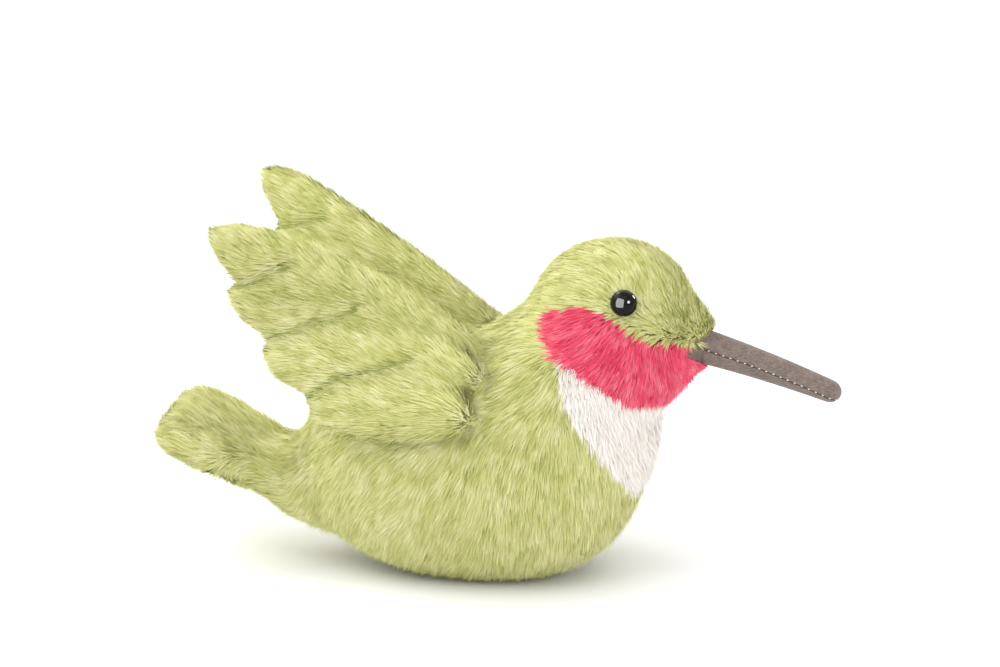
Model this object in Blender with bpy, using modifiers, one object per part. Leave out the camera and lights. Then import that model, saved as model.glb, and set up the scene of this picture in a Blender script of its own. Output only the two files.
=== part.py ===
"""Plush hummingbird: a soft toy that sits on its belly, with raised wings and tail.

Metres, +X towards the bill, +Y to the bird's left, +Z up. The origin is under the
middle of the toy, on the surface that it sits on. The solids are its outer form,
out to the tips of the pile.
"""

import math

import bmesh
import bpy
from mathutils import Matrix, Vector

# ---- driving sizes -----------------------------------------------------------
LENGTH = 0.178  # from the end of the tail to the tip of the bill
GAP = 0.0003  # left between two pieces that touch
MERGE = 0.00001  # points closer than this become one
VOXEL = 0.0020  # grain at which the stuffed forms are fused
SMOOTHING = 8  # passes that round off where two stuffed forms meet
BODY_TRIANGLES = 3400
WING_TRIANGLES = 1100
SPHERE_DETAIL = 5  # subdivisions of the round form that each pad starts from
FLOOR_SIZE = 0.3
SHEET_HALF_WIDTH = 0.06
SHEET_STEPS = 3  # straight pieces between two points of a cutting line

# ---- stuffed forms on the middle plane ---------------------------------------
# name: centre x and z; half length, half width, half height; pitch, nose up, in
# degrees; squareness, where 2 is an ellipsoid
BODY_FORMS = {
    "belly": ((-0.0079, 0.0300), (0.0452, 0.0330, 0.0325), -3.0, 2.3),
    "chest": ((0.0145, 0.0405), (0.0275, 0.0300, 0.0325), 0.0, 2.1),
    "rump": ((-0.0400, 0.0200), (0.0275, 0.0185, 0.0130), -10.0, 2.2),
    "neck": ((0.0160, 0.0550), (0.0180, 0.0225, 0.0215), 0.0, 2.0),
    "head": ((0.0291, 0.0688), (0.0225, 0.0215, 0.0217), 0.0, 2.1),
    "cheeks": ((0.0330, 0.0610), (0.0185, 0.0225, 0.0140), -25.0, 2.1),
    "face": ((0.0440, 0.0665), (0.0140, 0.0105, 0.0120), -28.0, 2.0),
}
TAIL_START = (-0.0380, 0.0142)
TAIL_RISE = 23.9  # degrees
TAIL_REACH = 0.0018  # how far its end lies past half the length
TAIL_HALF_WIDTH = 0.0255
TAIL_HALF_THICKNESS = 0.0060
TAIL_ROOT_WIDTH = 0.36  # share of the width at its end
TAIL_SQUARENESS = 5.0

# ---- wings ---------------------------------------------------------------------
# The right wing's padded feathers; the left wing is its mirror.
# name: start; end; half width at the end; share of that at the start; how far the
# lower edge leans outwards, in degrees
FEATHERS = {
    "leading": ((0.002, -0.0115, 0.0588), (-0.0731, -0.0325, 0.0947), 0.0108, 0.65, 2.0),
    "first": ((-0.016, -0.0180, 0.0717), (-0.0680, -0.0285, 0.0752), 0.0103, 0.72, 0.0),
    "second": ((0.001, -0.0230, 0.0597), (-0.0586, -0.0310, 0.0602), 0.0106, 0.72, 10.0),
    "third": ((0.000, -0.0320, 0.0510), (-0.0455, -0.0365, 0.0493), 0.0090, 0.88, 16.0),
}
FEATHER_SLANT = 0.35  # how much further the upper edge of a feather reaches
FEATHER_HALF_THICKNESS = 0.0058
FEATHER_SQUARENESS = 2.6
WING_BOW = 0.0035  # how far the middle of a wing's length dips towards the body
WING_LENGTH = 0.074  # along the toy
LEFT_WING_SWING = 1.3  # degrees that the left wing's root hangs lower than the right's
LEFT_WING_SHIFT = Vector((-0.0024, 0.0, -0.0008))

# ---- cuts between the sewn panels, as lines in side view ------------------------
NECK_LINE = (
    (-0.0200, 0.0860),
    (0.0040, 0.0730),
    (0.0200, 0.0625),
    (0.0245, 0.0593),
    (0.0292, 0.0560),
    (0.0335, 0.0523),
    (0.0400, 0.0498),
    (0.0600, 0.0440),
)
THROAT_LINE = (
    (0.0240, 0.0570),
    (0.0200, 0.0625),
    (0.0152, 0.0688),
    (0.0138, 0.0735),
    (0.0170, 0.0762),
    (0.0233, 0.0762),
    (0.0287, 0.0749),
    (0.0339, 0.0725),
    (0.0438, 0.0669),
    (0.0800, 0.0560),
)
BIB_LINE = (
    (0.0185, 0.0680),
    (0.0194, 0.0603),
    (0.0208, 0.0555),
    (0.0268, 0.0461),
    (0.0325, 0.0378),
    (0.0378, 0.0286),
    (0.0460, 0.0150),
)
TAIL_LINE = ((-0.0620, 0.0600), (-0.0550, 0.0300), (-0.0500, -0.0050))

# ---- bill and eyes ---------------------------------------------------------------
BILL_ROOT = Vector((0.0430, 0.0, 0.0652))
BILL_TIP = Vector((LENGTH / 2, 0.0, 0.0513))
BILL_ARCH = 0.0009  # how far its middle stands above the straight line
BILL_ROOT_RADIUS = 0.0053
BILL_TIP_RADIUS = 0.0030
BILL_WIDTH_SHARE = 0.84  # its width against its height
BILL_STATIONS = 12
BILL_TIP_STATIONS = 5
SEAM_LINE = (
    (0.0300, 0.0700),
    (0.0575, 0.0617),
    (0.0680, 0.0583),
    (0.0784, 0.0543),
    (0.0874, 0.0505),
    (0.1000, 0.0450),
)
EYE_RADIUS = 0.0035
EYE_CENTRE = Vector((0.0346, 0.0180, 0.0784))

GREEN, PINK, WHITE = (0.58, 0.56, 0.24), (0.80, 0.11, 0.18), (0.86, 0.80, 0.76)
GREY, BLACK = (0.30, 0.25, 0.23), (0.01, 0.01, 0.01)


def material(name, colour, roughness):
    """A plain material of that colour and roughness."""
    made = bpy.data.materials.new(name)
    made.use_nodes = True
    shader = made.node_tree.nodes["Principled BSDF"]
    shader.inputs["Base Color"].default_value = (*colour, 1.0)
    shader.inputs["Roughness"].default_value = roughness
    return made


def add_object(name, mesh, collection):
    """An object with that mesh or curve in that collection."""
    made = bpy.data.objects.new(name, mesh)
    collection.objects.link(made)
    return made


def add_guide(name, mesh, collection):
    """A helper that shapes other objects and isn't part of the toy."""
    made = add_object(name, mesh, collection)
    made.hide_render = True
    made.display_type = "WIRE"
    return made


def evaluated_mesh(obj):
    """A new mesh of the object as its modifiers leave it."""
    graph = bpy.context.evaluated_depsgraph_get()
    return bpy.data.meshes.new_from_object(obj.evaluated_get(graph))


def pitch(degrees):
    """Turns the nose of a form up by that angle, in the side view."""
    return Matrix.Rotation(-math.radians(degrees), 3, "Y")


def add_pad(work, centre, radii, turn, squareness, root_share=1.0):
    """Adds a stuffed form to a bmesh: a sphere filled out towards its corners,
    with its width tapered from its end to its root."""
    made = bmesh.ops.create_icosphere(work, subdivisions=SPHERE_DETAIL, radius=1.0)
    for vert in made["verts"]:
        fill = sum(abs(c) ** squareness for c in vert.co) ** (-1.0 / squareness)
        at = vert.co * fill
        at.y *= root_share + (1.0 - root_share) * (at.x + 1.0) / 2.0
        vert.co = centre + turn @ Vector(a * r for a, r in zip(at, radii))


def fused(name, work, triangles, collection):
    """Fuses overlapping forms into one skin, rounds it off and thins its mesh."""
    mesh = bpy.data.meshes.new(name)
    work.to_mesh(mesh)
    work.free()
    made = add_guide(name, mesh, collection)
    fuse = made.modifiers.new("Fuse", "REMESH")
    fuse.mode = "VOXEL"
    fuse.voxel_size = VOXEL
    smooth = made.modifiers.new("Round off", "SMOOTH")
    smooth.factor = 0.5
    smooth.iterations = SMOOTHING
    whole = evaluated_mesh(made)
    whole.calc_loop_triangles()
    thin = made.modifiers.new("Thin out", "DECIMATE")
    thin.ratio = triangles / len(whole.loop_triangles)
    thin.use_collapse_triangulate = True
    return made


def body_skin(guides):
    """Belly, chest, neck, head and tail in one skin."""
    work = bmesh.new()
    for (x, z), radii, nose_up, squareness in BODY_FORMS.values():
        add_pad(work, Vector((x, 0.0, z)), radii, pitch(nose_up), squareness)
    rise = math.radians(TAIL_RISE)
    start = Vector((TAIL_START[0], 0.0, TAIL_START[1]))
    half_length = (start.x + LENGTH / 2 + TAIL_REACH) / 2 / math.cos(rise)
    backwards = Vector((-math.cos(rise), 0.0, math.sin(rise)))
    turn = Matrix((backwards, (0, -1, 0), (math.sin(rise), 0, math.cos(rise)))).transposed()
    radii = (half_length, TAIL_HALF_WIDTH, TAIL_HALF_THICKNESS)
    centre = start + backwards * half_length
    add_pad(work, centre, radii, turn, TAIL_SQUARENESS, TAIL_ROOT_WIDTH)
    return fused("body_skin", work, BODY_TRIANGLES, guides)


def wing_skin(guides):
    """The right wing: padded feathers that fan out backwards."""
    work = bmesh.new()
    for start, end, half_width, root_share, lean in FEATHERS.values():
        first, last = Vector(start), Vector(end)
        lengthwise = (last - first).normalized()
        outwards = lengthwise.cross((0, 0, 1)).normalized()
        down = lengthwise.cross(outwards)
        tilt = Matrix.Rotation(math.radians(lean), 3, lengthwise)
        slanted = tilt @ down - FEATHER_SLANT * lengthwise
        turn = Matrix((lengthwise, slanted, tilt @ outwards)).transposed()
        radii = ((last - first).length / 2, half_width, FEATHER_HALF_THICKNESS)
        add_pad(work, (first + last) / 2, radii, turn, FEATHER_SQUARENESS, root_share)
    for vert in work.verts:
        from_middle = 2.0 * vert.co.x / WING_LENGTH + 1.0
        vert.co.y += WING_BOW * (1.0 - from_middle**2)
    return fused("wing_skin", work, WING_TRIANGLES, guides)


def cutting_sheet(name, line, guides):
    """A sheet as thick as the gap, along a smooth line drawn in side view."""
    curve = bpy.data.curves.new(name, "CURVE")
    curve.dimensions = "2D"
    curve.fill_mode = "NONE"
    curve.extrude = SHEET_HALF_WIDTH
    curve.resolution_u = SHEET_STEPS
    spline = curve.splines.new("BEZIER")
    spline.bezier_points.add(len(line) - 1)
    for point, (x, z) in zip(spline.bezier_points, line):
        point.co = (x, z, 0.0)
        point.handle_left_type = point.handle_right_type = "AUTO"
    drawn = add_guide(name + "_line", curve, guides)
    mesh = evaluated_mesh(drawn)
    bpy.data.objects.remove(drawn)
    mesh.transform(Matrix.Rotation(math.pi / 2, 4, "X"))
    made = add_guide(name + "_sheet", mesh, guides)
    wall = made.modifiers.new("Thickness", "SOLIDIFY")
    wall.thickness = GAP
    wall.offset = 0.0
    return made


def cut(obj, cutter):
    """Takes the cutter's space away from the object."""
    change = obj.modifiers.new("Cut by " + cutter.name, "BOOLEAN")
    change.operation = "DIFFERENCE"
    change.object = cutter


def grown_copy(obj, guides):
    """A copy of an object that stands out by the gap on every side."""
    made = add_guide(obj.name + "_grown", evaluated_mesh(obj), guides)
    grow = made.modifiers.new("Gap", "DISPLACE")
    grow.strength = GAP
    grow.mid_level = 0.0
    return made


def floor_block(guides):
    """Everything below the surface that the toy sits on."""
    work = bmesh.new()
    below = Matrix.Translation((0.0, 0.0, -FLOOR_SIZE / 2))
    bmesh.ops.create_cube(work, size=FLOOR_SIZE, matrix=below)
    mesh = bpy.data.meshes.new("floor_block")
    work.to_mesh(mesh)
    work.free()
    return add_guide("floor_block", mesh, guides)


def bill_skin(guides):
    """The whole bill: a tapered tube, lightly arched, with a rounded tip."""
    curve = bpy.data.curves.new("bill", "CURVE")
    curve.dimensions = "3D"
    curve.bevel_depth = 1.0
    curve.bevel_resolution = 4
    curve.use_fill_caps = True
    spline = curve.splines.new("POLY")
    spline.points.add(BILL_STATIONS + BILL_TIP_STATIONS - 1)
    cap = BILL_TIP_RADIUS / (BILL_TIP - BILL_ROOT).length
    for index, point in enumerate(spline.points):
        share = (1.0 - cap) * index / (BILL_STATIONS - 1)
        roundness = 1.0
        if index >= BILL_STATIONS:
            angle = math.pi / 2 * (index - BILL_STATIONS + 1) / (BILL_TIP_STATIONS + 0.5)
            share = 1.0 - cap + cap * math.sin(angle)
            roundness = math.cos(angle)
        at = BILL_ROOT.lerp(BILL_TIP, share)
        at.z += BILL_ARCH * 4.0 * share * (1.0 - share)
        point.co = (*at, 1.0)
        taper = BILL_ROOT_RADIUS + (BILL_TIP_RADIUS - BILL_ROOT_RADIUS) * share
        point.radius = taper * roundness
    drawn = add_guide("bill_line", curve, guides)
    mesh = evaluated_mesh(drawn)
    bpy.data.objects.remove(drawn)
    work = bmesh.new()
    work.from_mesh(mesh)
    bmesh.ops.remove_doubles(work, verts=work.verts, dist=MERGE)
    for vert in work.verts:
        vert.co.y *= BILL_WIDTH_SHARE
    work.to_mesh(mesh)
    work.free()
    return add_guide("bill", mesh, guides)


def eye_ball(name, centre, toy):
    """A round safety eye."""
    work = bmesh.new()
    place = Matrix.Translation(centre)
    bmesh.ops.create_icosphere(work, subdivisions=3, radius=EYE_RADIUS, matrix=place)
    mesh = bpy.data.meshes.new(name)
    work.to_mesh(mesh)
    work.free()
    return add_object(name, mesh, toy)


def loose_parts(mesh):
    """The separate closed bodies of a mesh, each as a mesh of its own."""
    work = bmesh.new()
    work.from_mesh(mesh)
    left = set(work.verts)
    parts = []
    while left:
        part, edge = set(), {left.pop()}
        while edge:
            part |= edge
            edge = {link.other_vert(v) for v in edge for link in v.link_edges} - part
        left -= part
        parts.append({v.index for v in part})
    work.free()
    return [only_vertices(mesh, part) for part in parts]


def only_vertices(mesh, kept):
    """A copy of a mesh with only those vertices."""
    work = bmesh.new()
    work.from_mesh(mesh)
    others = [v for v in work.verts if v.index not in kept]
    bmesh.ops.delete(work, geom=others, context="VERTS")
    made = bpy.data.meshes.new("part")
    work.to_mesh(made)
    work.free()
    return made


def split(mesh, sheet, axis, guides):
    """Cuts a mesh in two with a sheet; the half that lies further along the axis
    comes first."""
    whole = add_guide("whole", mesh, guides)
    cut(whole, sheet)
    parts = loose_parts(evaluated_mesh(whole))
    bpy.data.objects.remove(whole)
    parts.sort(key=lambda part: len(part.vertices), reverse=True)
    return sorted(parts[:2], key=lambda part: -middle_of(part)[axis])


def middle_of(mesh):
    """The average place of a mesh's vertices."""
    return sum((v.co for v in mesh.vertices), Vector()) / len(mesh.vertices)


def mirrored(mesh):
    """The mesh as it would be on the other side of the toy."""
    made = mesh.copy()
    made.transform(Matrix.Scale(-1.0, 4, (0, 1, 0)))
    made.flip_normals()
    return made


def body_panels(guides, sockets):
    """The sewn panels of the body, cut apart from one skin."""
    body = body_skin(guides)
    for cutter in (floor_block(guides), *sockets):
        cut(body, cutter)
    lines = {"neck": NECK_LINE, "throat": THROAT_LINE, "bib": BIB_LINE, "tail": TAIL_LINE}
    sheets = {name: cutting_sheet(name, line, guides) for name, line in lines.items()}
    head, below = split(evaluated_mesh(body), sheets["neck"], 2, guides)
    crown, throat = split(head, sheets["throat"], 2, guides)
    bib, behind = split(below, sheets["bib"], 0, guides)
    trunk, tail = split(behind, sheets["tail"], 0, guides)
    return body, {"crown": crown, "throat": throat, "bib": bib, "trunk": trunk, "tail": tail}


def finish(obj, skin_material):
    """Gives a piece its material and smooth shading."""
    obj.data.materials.clear()
    obj.data.materials.append(skin_material)
    obj.data.shade_smooth()


def centre_over_origin(pieces):
    """Moves the pieces along the toy until the middle of their box is over the origin."""
    xs = [vert.co.x for piece in pieces for vert in piece.data.vertices]
    shift = Matrix.Translation((-(min(xs) + max(xs)) / 2, 0.0, 0.0))
    for piece in pieces:
        piece.data.transform(shift)


def main():
    for obj in list(bpy.data.objects):
        bpy.data.objects.remove(obj)
    toy = bpy.data.collections.new("plush_hummingbird")
    guides = bpy.data.collections.new("guides")
    for collection in (toy, guides):
        bpy.context.scene.collection.children.link(collection)
    green = material("green_pile", GREEN, 0.9)
    pink = material("pink_pile", PINK, 0.9)
    white = material("white_pile", WHITE, 0.9)
    suede = material("grey_suede", GREY, 0.8)
    gloss = material("black_gloss", BLACK, 0.1)

    bill = bill_skin(guides)
    far_eye = Vector((EYE_CENTRE.x, -EYE_CENTRE.y, EYE_CENTRE.z))
    eyes = [eye_ball("eye_left", EYE_CENTRE, toy), eye_ball("eye_right", far_eye, toy)]
    sockets = [grown_copy(obj, guides) for obj in (bill, *eyes)]
    body, panels = body_panels(guides, sockets)
    colours = {"throat": pink, "bib": white}
    for name, mesh in panels.items():
        finish(add_object(name, mesh, toy), colours.get(name, green))

    right_wing = evaluated_mesh(wing_skin(guides))
    left_wing = mirrored(right_wing)
    left_wing.transform(Matrix.Rotation(math.radians(LEFT_WING_SWING), 4, "Y"))
    left_wing.transform(Matrix.Translation(LEFT_WING_SHIFT))
    around_body = grown_copy(body, guides)
    for name, mesh in (("wing_right", right_wing), ("wing_left", left_wing)):
        whole = add_guide(name + "_whole", mesh, guides)
        cut(whole, around_body)
        outside = max(loose_parts(evaluated_mesh(whole)), key=lambda part: len(part.vertices))
        finish(add_object(name, outside, toy), green)

    seam = cutting_sheet("bill_seam", SEAM_LINE, guides)
    halves = split(evaluated_mesh(bill), seam, 2, guides)
    for name, mesh in zip(("bill_upper", "bill_lower"), halves):
        finish(add_object(name, mesh, toy), suede)
    for eye in eyes:
        finish(eye, gloss)
    centre_over_origin(toy.objects)


main()
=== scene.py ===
"""Looks of a plush hummingbird: a soft toy that sits on its belly, wings and tail raised.

Metres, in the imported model's frame: +X towards the bill, +Y to the bird's left, +Z up.
The solids reach to the tips of the pile. So the fabric skin is drawn in from them by the
depth of the pile, and the pile grows from the skin back out to them.
"""

import logging
import math
from dataclasses import dataclass
from enum import Enum

import bmesh
import bpy
import numpy as np
from mathutils import Matrix, Vector
from mathutils.bvhtree import BVHTree


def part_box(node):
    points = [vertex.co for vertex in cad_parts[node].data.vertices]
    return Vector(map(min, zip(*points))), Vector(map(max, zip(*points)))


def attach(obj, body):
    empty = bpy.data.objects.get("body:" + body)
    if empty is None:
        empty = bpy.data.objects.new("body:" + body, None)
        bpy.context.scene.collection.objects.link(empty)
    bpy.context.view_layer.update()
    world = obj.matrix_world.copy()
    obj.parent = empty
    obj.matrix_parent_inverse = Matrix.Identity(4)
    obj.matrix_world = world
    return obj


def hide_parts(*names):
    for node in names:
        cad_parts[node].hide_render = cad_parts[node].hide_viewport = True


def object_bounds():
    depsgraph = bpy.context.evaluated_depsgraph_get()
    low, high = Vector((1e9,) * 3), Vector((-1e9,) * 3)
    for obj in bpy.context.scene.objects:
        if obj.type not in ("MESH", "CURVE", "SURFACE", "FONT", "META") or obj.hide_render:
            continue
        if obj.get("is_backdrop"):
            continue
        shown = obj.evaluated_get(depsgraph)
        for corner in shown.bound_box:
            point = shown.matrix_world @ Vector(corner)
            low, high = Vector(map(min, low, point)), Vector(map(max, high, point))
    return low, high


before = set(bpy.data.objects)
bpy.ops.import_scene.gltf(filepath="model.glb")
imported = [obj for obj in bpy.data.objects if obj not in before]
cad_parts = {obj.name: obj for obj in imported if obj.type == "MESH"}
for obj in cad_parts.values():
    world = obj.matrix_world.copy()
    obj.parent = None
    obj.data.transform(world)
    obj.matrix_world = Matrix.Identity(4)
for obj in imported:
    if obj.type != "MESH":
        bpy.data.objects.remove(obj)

LOG = logging.getLogger("plush_hummingbird")
MERGE = 0.00001  # points closer than this become one
BAKE_MAP = "OFBake"
# attributes that only the skin and the growing locks need
SPENT = ("section", "patch", "seat", "up", "lay", "pile", "lift", "full", "throat", "bib", "gape")
Colour = tuple[float, float, float]


class Panel(Enum):
    """A panel of pile fabric, named after the solid that it covers."""

    CROWN = "crown"
    THROAT = "throat"
    BIB = "bib"
    TRUNK = "trunk"
    TAIL = "tail"
    WING_LEFT = "wing_left"
    WING_RIGHT = "wing_right"


class Side(Enum):
    """A side of the toy, with the sign of Y there."""

    RIGHT = -1
    LEFT = 1


WINGS = {Side.RIGHT: Panel.WING_RIGHT, Side.LEFT: Panel.WING_LEFT}


# ---- node trees written as formulas ----------------------------------------------


def is_vector(value: object) -> bool:
    """Tells vectors from numbers.

    Args:
        value: a signal, a tuple or a number.

    Returns:
        True for a vector or colour socket, and for a tuple of numbers.
    """
    if isinstance(value, Signal):
        return value.socket.type in {"VECTOR", "RGBA"}
    return isinstance(value, (tuple, Vector))


class Signal:
    """A node's output that stands in a formula like a number or a vector."""

    def __init__(self, graph: "Graph", socket: bpy.types.NodeSocket) -> None:
        """Keeps the socket and the graph that new nodes go to."""
        self.graph = graph
        self.socket = socket

    def maths(self, operation: str, *operands: object) -> "Signal":
        """Adds one Math node, or Vector Math where an operand is a vector.

        Args:
            operation: the node's operation.
            operands: its inputs in order, signals or numbers.

        Returns:
            The node's result.
        """
        vectors = any(is_vector(operand) for operand in operands)
        kind = "ShaderNodeVectorMath" if vectors else "ShaderNodeMath"
        return self.graph.node(kind, {"operation": operation}, dict(enumerate(operands)))

    def __add__(self, other: object) -> "Signal":
        """self + other."""
        return self.maths("ADD", self, other)

    __radd__ = __add__

    def __sub__(self, other: object) -> "Signal":
        """self - other."""
        return self.maths("SUBTRACT", self, other)

    def __rsub__(self, other: object) -> "Signal":
        """other - self."""
        return self.maths("SUBTRACT", other, self)

    def __mul__(self, other: object) -> "Signal":
        """self * other, part by part for vectors."""
        return self.maths("MULTIPLY", self, other)

    __rmul__ = __mul__

    def __truediv__(self, other: object) -> "Signal":
        """self / other."""
        return self.maths("DIVIDE", self, other)

    def at_least(self, other: object) -> "Signal":
        """The larger of self and other."""
        return self.maths("MAXIMUM", self, other)

    def at_most(self, other: object) -> "Signal":
        """The smaller of self and other."""
        return self.maths("MINIMUM", self, other)

    def above(self, limit: float) -> "Signal":
        """1 where self is over the limit, or else 0."""
        return self.maths("GREATER_THAN", self, limit)

    def dot(self, other: object) -> "Signal":
        """The dot product of two vectors."""
        return self.maths("DOT_PRODUCT", self, other)

    def cross(self, other: object) -> "Signal":
        """The cross product of two vectors."""
        return self.maths("CROSS_PRODUCT", self, other)

    def unit(self) -> "Signal":
        """The vector at length 1."""
        return self.maths("NORMALIZE", self)

    def part(self, axis: int) -> "Signal":
        """The X, Y or Z part of a vector, for axis 0, 1 or 2."""
        return self.graph.node("ShaderNodeSeparateXYZ", {}, {0: self}, axis)

    def towards(self, other: object, share: object) -> "Signal":
        """The value a share of the way from self to other."""
        return self + (other - self) * share


class Graph:
    """A shader or geometry node tree that is written in Python expressions."""

    def __init__(self, tree: bpy.types.NodeTree) -> None:
        """Wraps an empty tree."""
        self.tree = tree

    @staticmethod
    def pick(sockets: object, key: object) -> bpy.types.NodeSocket:
        """One socket of a node.

        Args:
            sockets: the node's inputs or outputs.
            key: its place, its name, or None for the first one in use.

        Returns:
            The socket.
        """
        if isinstance(key, int):
            return sockets[key]
        return next(s for s in sockets if s.enabled and key in (None, s.name))

    def node(self, kind: str, settings: dict, values: dict, output: object = None) -> Signal:
        """Adds any node.

        Args:
            kind: the node's type.
            settings: its properties, which are set first.
            values: a value or signal for each socket, by name or place.
            output: the output that is returned, by name or place.

        Returns:
            That output, or the first one in use.
        """
        made = self.tree.nodes.new(kind)
        for name, value in settings.items():
            setattr(made, name, value)
        for key, value in values.items():
            self.feed(self.pick(made.inputs, key), value)
        return Signal(self, self.pick(made.outputs, output))

    def feed(self, socket: bpy.types.NodeSocket, value: object) -> None:
        """Links a signal to an input, or sets its value.

        Args:
            socket: the input.
            value: a signal, number, vector, colour, word or data block.
        """
        if isinstance(value, Signal):
            self.tree.links.new(value.socket, socket)
        elif socket.type == "VECTOR" and isinstance(value, (int, float)):
            socket.default_value = (value, value, value)
        elif socket.type == "RGBA" and len(value) == 3:
            socket.default_value = (*value, 1.0)
        else:
            socket.default_value = value


class GeometryGraph(Graph):
    """A geometry node tree with named inputs."""

    def __init__(self, name: str) -> None:
        """Starts a tree that takes one geometry and gives one.

        Args:
            name: the tree's name.
        """
        super().__init__(bpy.data.node_groups.new(name, "GeometryNodeTree"))
        for way in ("INPUT", "OUTPUT"):
            self.tree.interface.new_socket(
                "Geometry", in_out=way, socket_type="NodeSocketGeometry"
            )

    def inlet(self, name: str, kind: str = "Float") -> Signal:
        """Adds a named input to the tree.

        Args:
            name: the input's name.
            kind: the end of its socket type, such as Float, Object or Material.

        Returns:
            Its signal.
        """
        self.tree.interface.new_socket(name, in_out="INPUT", socket_type=f"NodeSocket{kind}")
        return self.node("NodeGroupInput", {}, {}, name)

    def given(self) -> Signal:
        """The geometry that the tree starts from."""
        return self.node("NodeGroupInput", {}, {}, "Geometry")

    def attribute(self, name: str, kind: str = "FLOAT") -> Signal:
        """Reads a named attribute of the given data type."""
        settings = {"data_type": kind}
        return self.node("GeometryNodeInputNamedAttribute", settings, {"Name": name})

    def keep(self, geometry: Signal, name: str, value: object, kind: str = "FLOAT") -> Signal:
        """Stores a named attribute on the points of a geometry.

        Args:
            geometry: what it is stored on.
            name: the attribute's name.
            value: its value.
            kind: its data type.

        Returns:
            The geometry that has it.
        """
        return self.node(
            "GeometryNodeStoreNamedAttribute",
            {"data_type": kind, "domain": "POINT"},
            {"Geometry": geometry, "Name": name, "Value": value},
        )

    def chance(self, low: float, high: float, seed: object) -> Signal:
        """A random number for each element, between low and high."""
        values = {"Min": low, "Max": high, "Seed": seed}
        return self.node("FunctionNodeRandomValue", {"data_type": "FLOAT"}, values)

    def nearest(
        self, mesh: Signal, value: Signal, place: Signal, kind: str = "FLOAT_VECTOR"
    ) -> Signal:
        """Reads a field of a mesh where its surface is nearest to a place.

        Args:
            mesh: the mesh.
            value: the field.
            place: the place.
            kind: the field's data type.

        Returns:
            The field's value there.
        """
        values = {"Mesh": mesh, "Value": value, "Sample Position": place}
        return self.node("GeometryNodeSampleNearestSurface", {"data_type": kind}, values)

    def value_of(self, points: Signal, index: Signal, name: str, kind: str) -> Signal:
        """The named attribute of one of a geometry's points."""
        values = {"Geometry": points, "Value": self.attribute(name, kind), "Index": index}
        return self.node("GeometryNodeSampleIndex", {"data_type": kind}, values)

    def finish(self, geometry: Signal, material: Signal | None = None) -> None:
        """Ends the tree: realizes the instances, sets the material and puts it out.

        Args:
            geometry: what the tree has made.
            material: its finish, or None for a mesh that is dressed later.
        """
        out = self.tree.nodes.new("NodeGroupOutput")
        if material is not None:
            geometry = self.node("GeometryNodeRealizeInstances", {}, {"Geometry": geometry})
            values = {"Geometry": geometry, "Material": material}
            geometry = self.node("GeometryNodeSetMaterial", {}, values)
        self.tree.links.new(geometry.socket, out.inputs["Geometry"])


def worked_mesh(obj: bpy.types.Object, tree: bpy.types.NodeTree, inputs: dict) -> bpy.types.Mesh:
    """Runs a geometry node tree on an object.

    Args:
        obj: the object, which is left as it was.
        tree: the node tree.
        inputs: the value of each named input.

    Returns:
        The result as a plain mesh.
    """
    modifier = obj.modifiers.new(tree.name, "NODES")
    modifier.node_group = tree
    for item in tree.interface.items_tree:
        if item.in_out == "INPUT" and item.name in inputs:
            modifier[item.identifier] = inputs[item.name]
    mesh = plain_mesh(obj)
    obj.modifiers.remove(modifier)
    return mesh


# ---- mesh helpers --------------------------------------------------------------------


def plain_mesh(obj: bpy.types.Object) -> bpy.types.Mesh:
    """A copy of an object's mesh with its modifiers worked in."""
    graph = bpy.context.evaluated_depsgraph_get()
    return bpy.data.meshes.new_from_object(obj.evaluated_get(graph))


def placed(name: str, mesh: bpy.types.Mesh) -> bpy.types.Object:
    """Puts a mesh into the scene.

    Args:
        name: the new object's name.
        mesh: the mesh that it holds.

    Returns:
        The object.
    """
    obj = bpy.data.objects.new(name, mesh)
    bpy.context.scene.collection.objects.link(obj)
    return obj


def removed(*objects: bpy.types.Object) -> None:
    """Takes helper objects out of the file, with their meshes."""
    for obj in objects:
        mesh = obj.data
        bpy.data.objects.remove(obj)
        bpy.data.meshes.remove(mesh)


def merged_copy(nodes: list[str]) -> bpy.types.Mesh:
    """One mesh of several CAD nodes, each with its points merged.

    Args:
        nodes: the nodes' names.

    Returns:
        The new mesh.
    """
    form = bmesh.new()
    for node in nodes:
        form.from_mesh(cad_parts[node].data)
    bmesh.ops.remove_doubles(form, verts=form.verts, dist=MERGE)
    mesh = bpy.data.meshes.new("merged")
    form.to_mesh(mesh)
    form.free()
    return mesh


def rows_of(
    items: bpy.types.bpy_prop_collection, field: str, width: int, kind: type = np.float32
) -> np.ndarray:
    """Reads one field of many items at once.

    Args:
        items: a mesh's points, normals, edges or faces.
        field: the field's name.
        width: how many numbers it holds.
        kind: their type.

    Returns:
        One row for each item.
    """
    rows = np.empty(len(items) * width, kind)
    items.foreach_get(field, rows)
    return rows.reshape(-1, width)


def points_of(mesh: bpy.types.Mesh) -> np.ndarray:
    """A mesh's points as rows of X, Y and Z."""
    return rows_of(mesh.vertices, "co", 3).astype(float)


def normals_of(mesh: bpy.types.Mesh) -> np.ndarray:
    """The outward direction at each point of a mesh."""
    return rows_of(mesh.vertex_normals, "vector", 3).astype(float)


def edges_of(mesh: bpy.types.Mesh) -> np.ndarray:
    """A mesh's edges as rows of two point numbers."""
    return rows_of(mesh.edges, "vertices", 2, np.int32)


def write_attribute(mesh: bpy.types.Mesh, name: str, values: np.ndarray) -> None:
    """Puts values on a mesh's points as a named attribute.

    Args:
        mesh: the mesh.
        name: the attribute's name.
        values: a number, or a row of X, Y and Z, for each point.
    """
    kind, field = ("FLOAT_VECTOR", "vector") if values.ndim == 2 else ("FLOAT", "value")
    attribute = mesh.attributes.new(name, kind, "POINT")
    attribute.data.foreach_set(field, values.astype(np.float32).ravel())


def smooth_shading(mesh: bpy.types.Mesh) -> None:
    """Shades every face smooth."""
    mesh.polygons.foreach_set("use_smooth", [True] * len(mesh.polygons))


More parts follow.
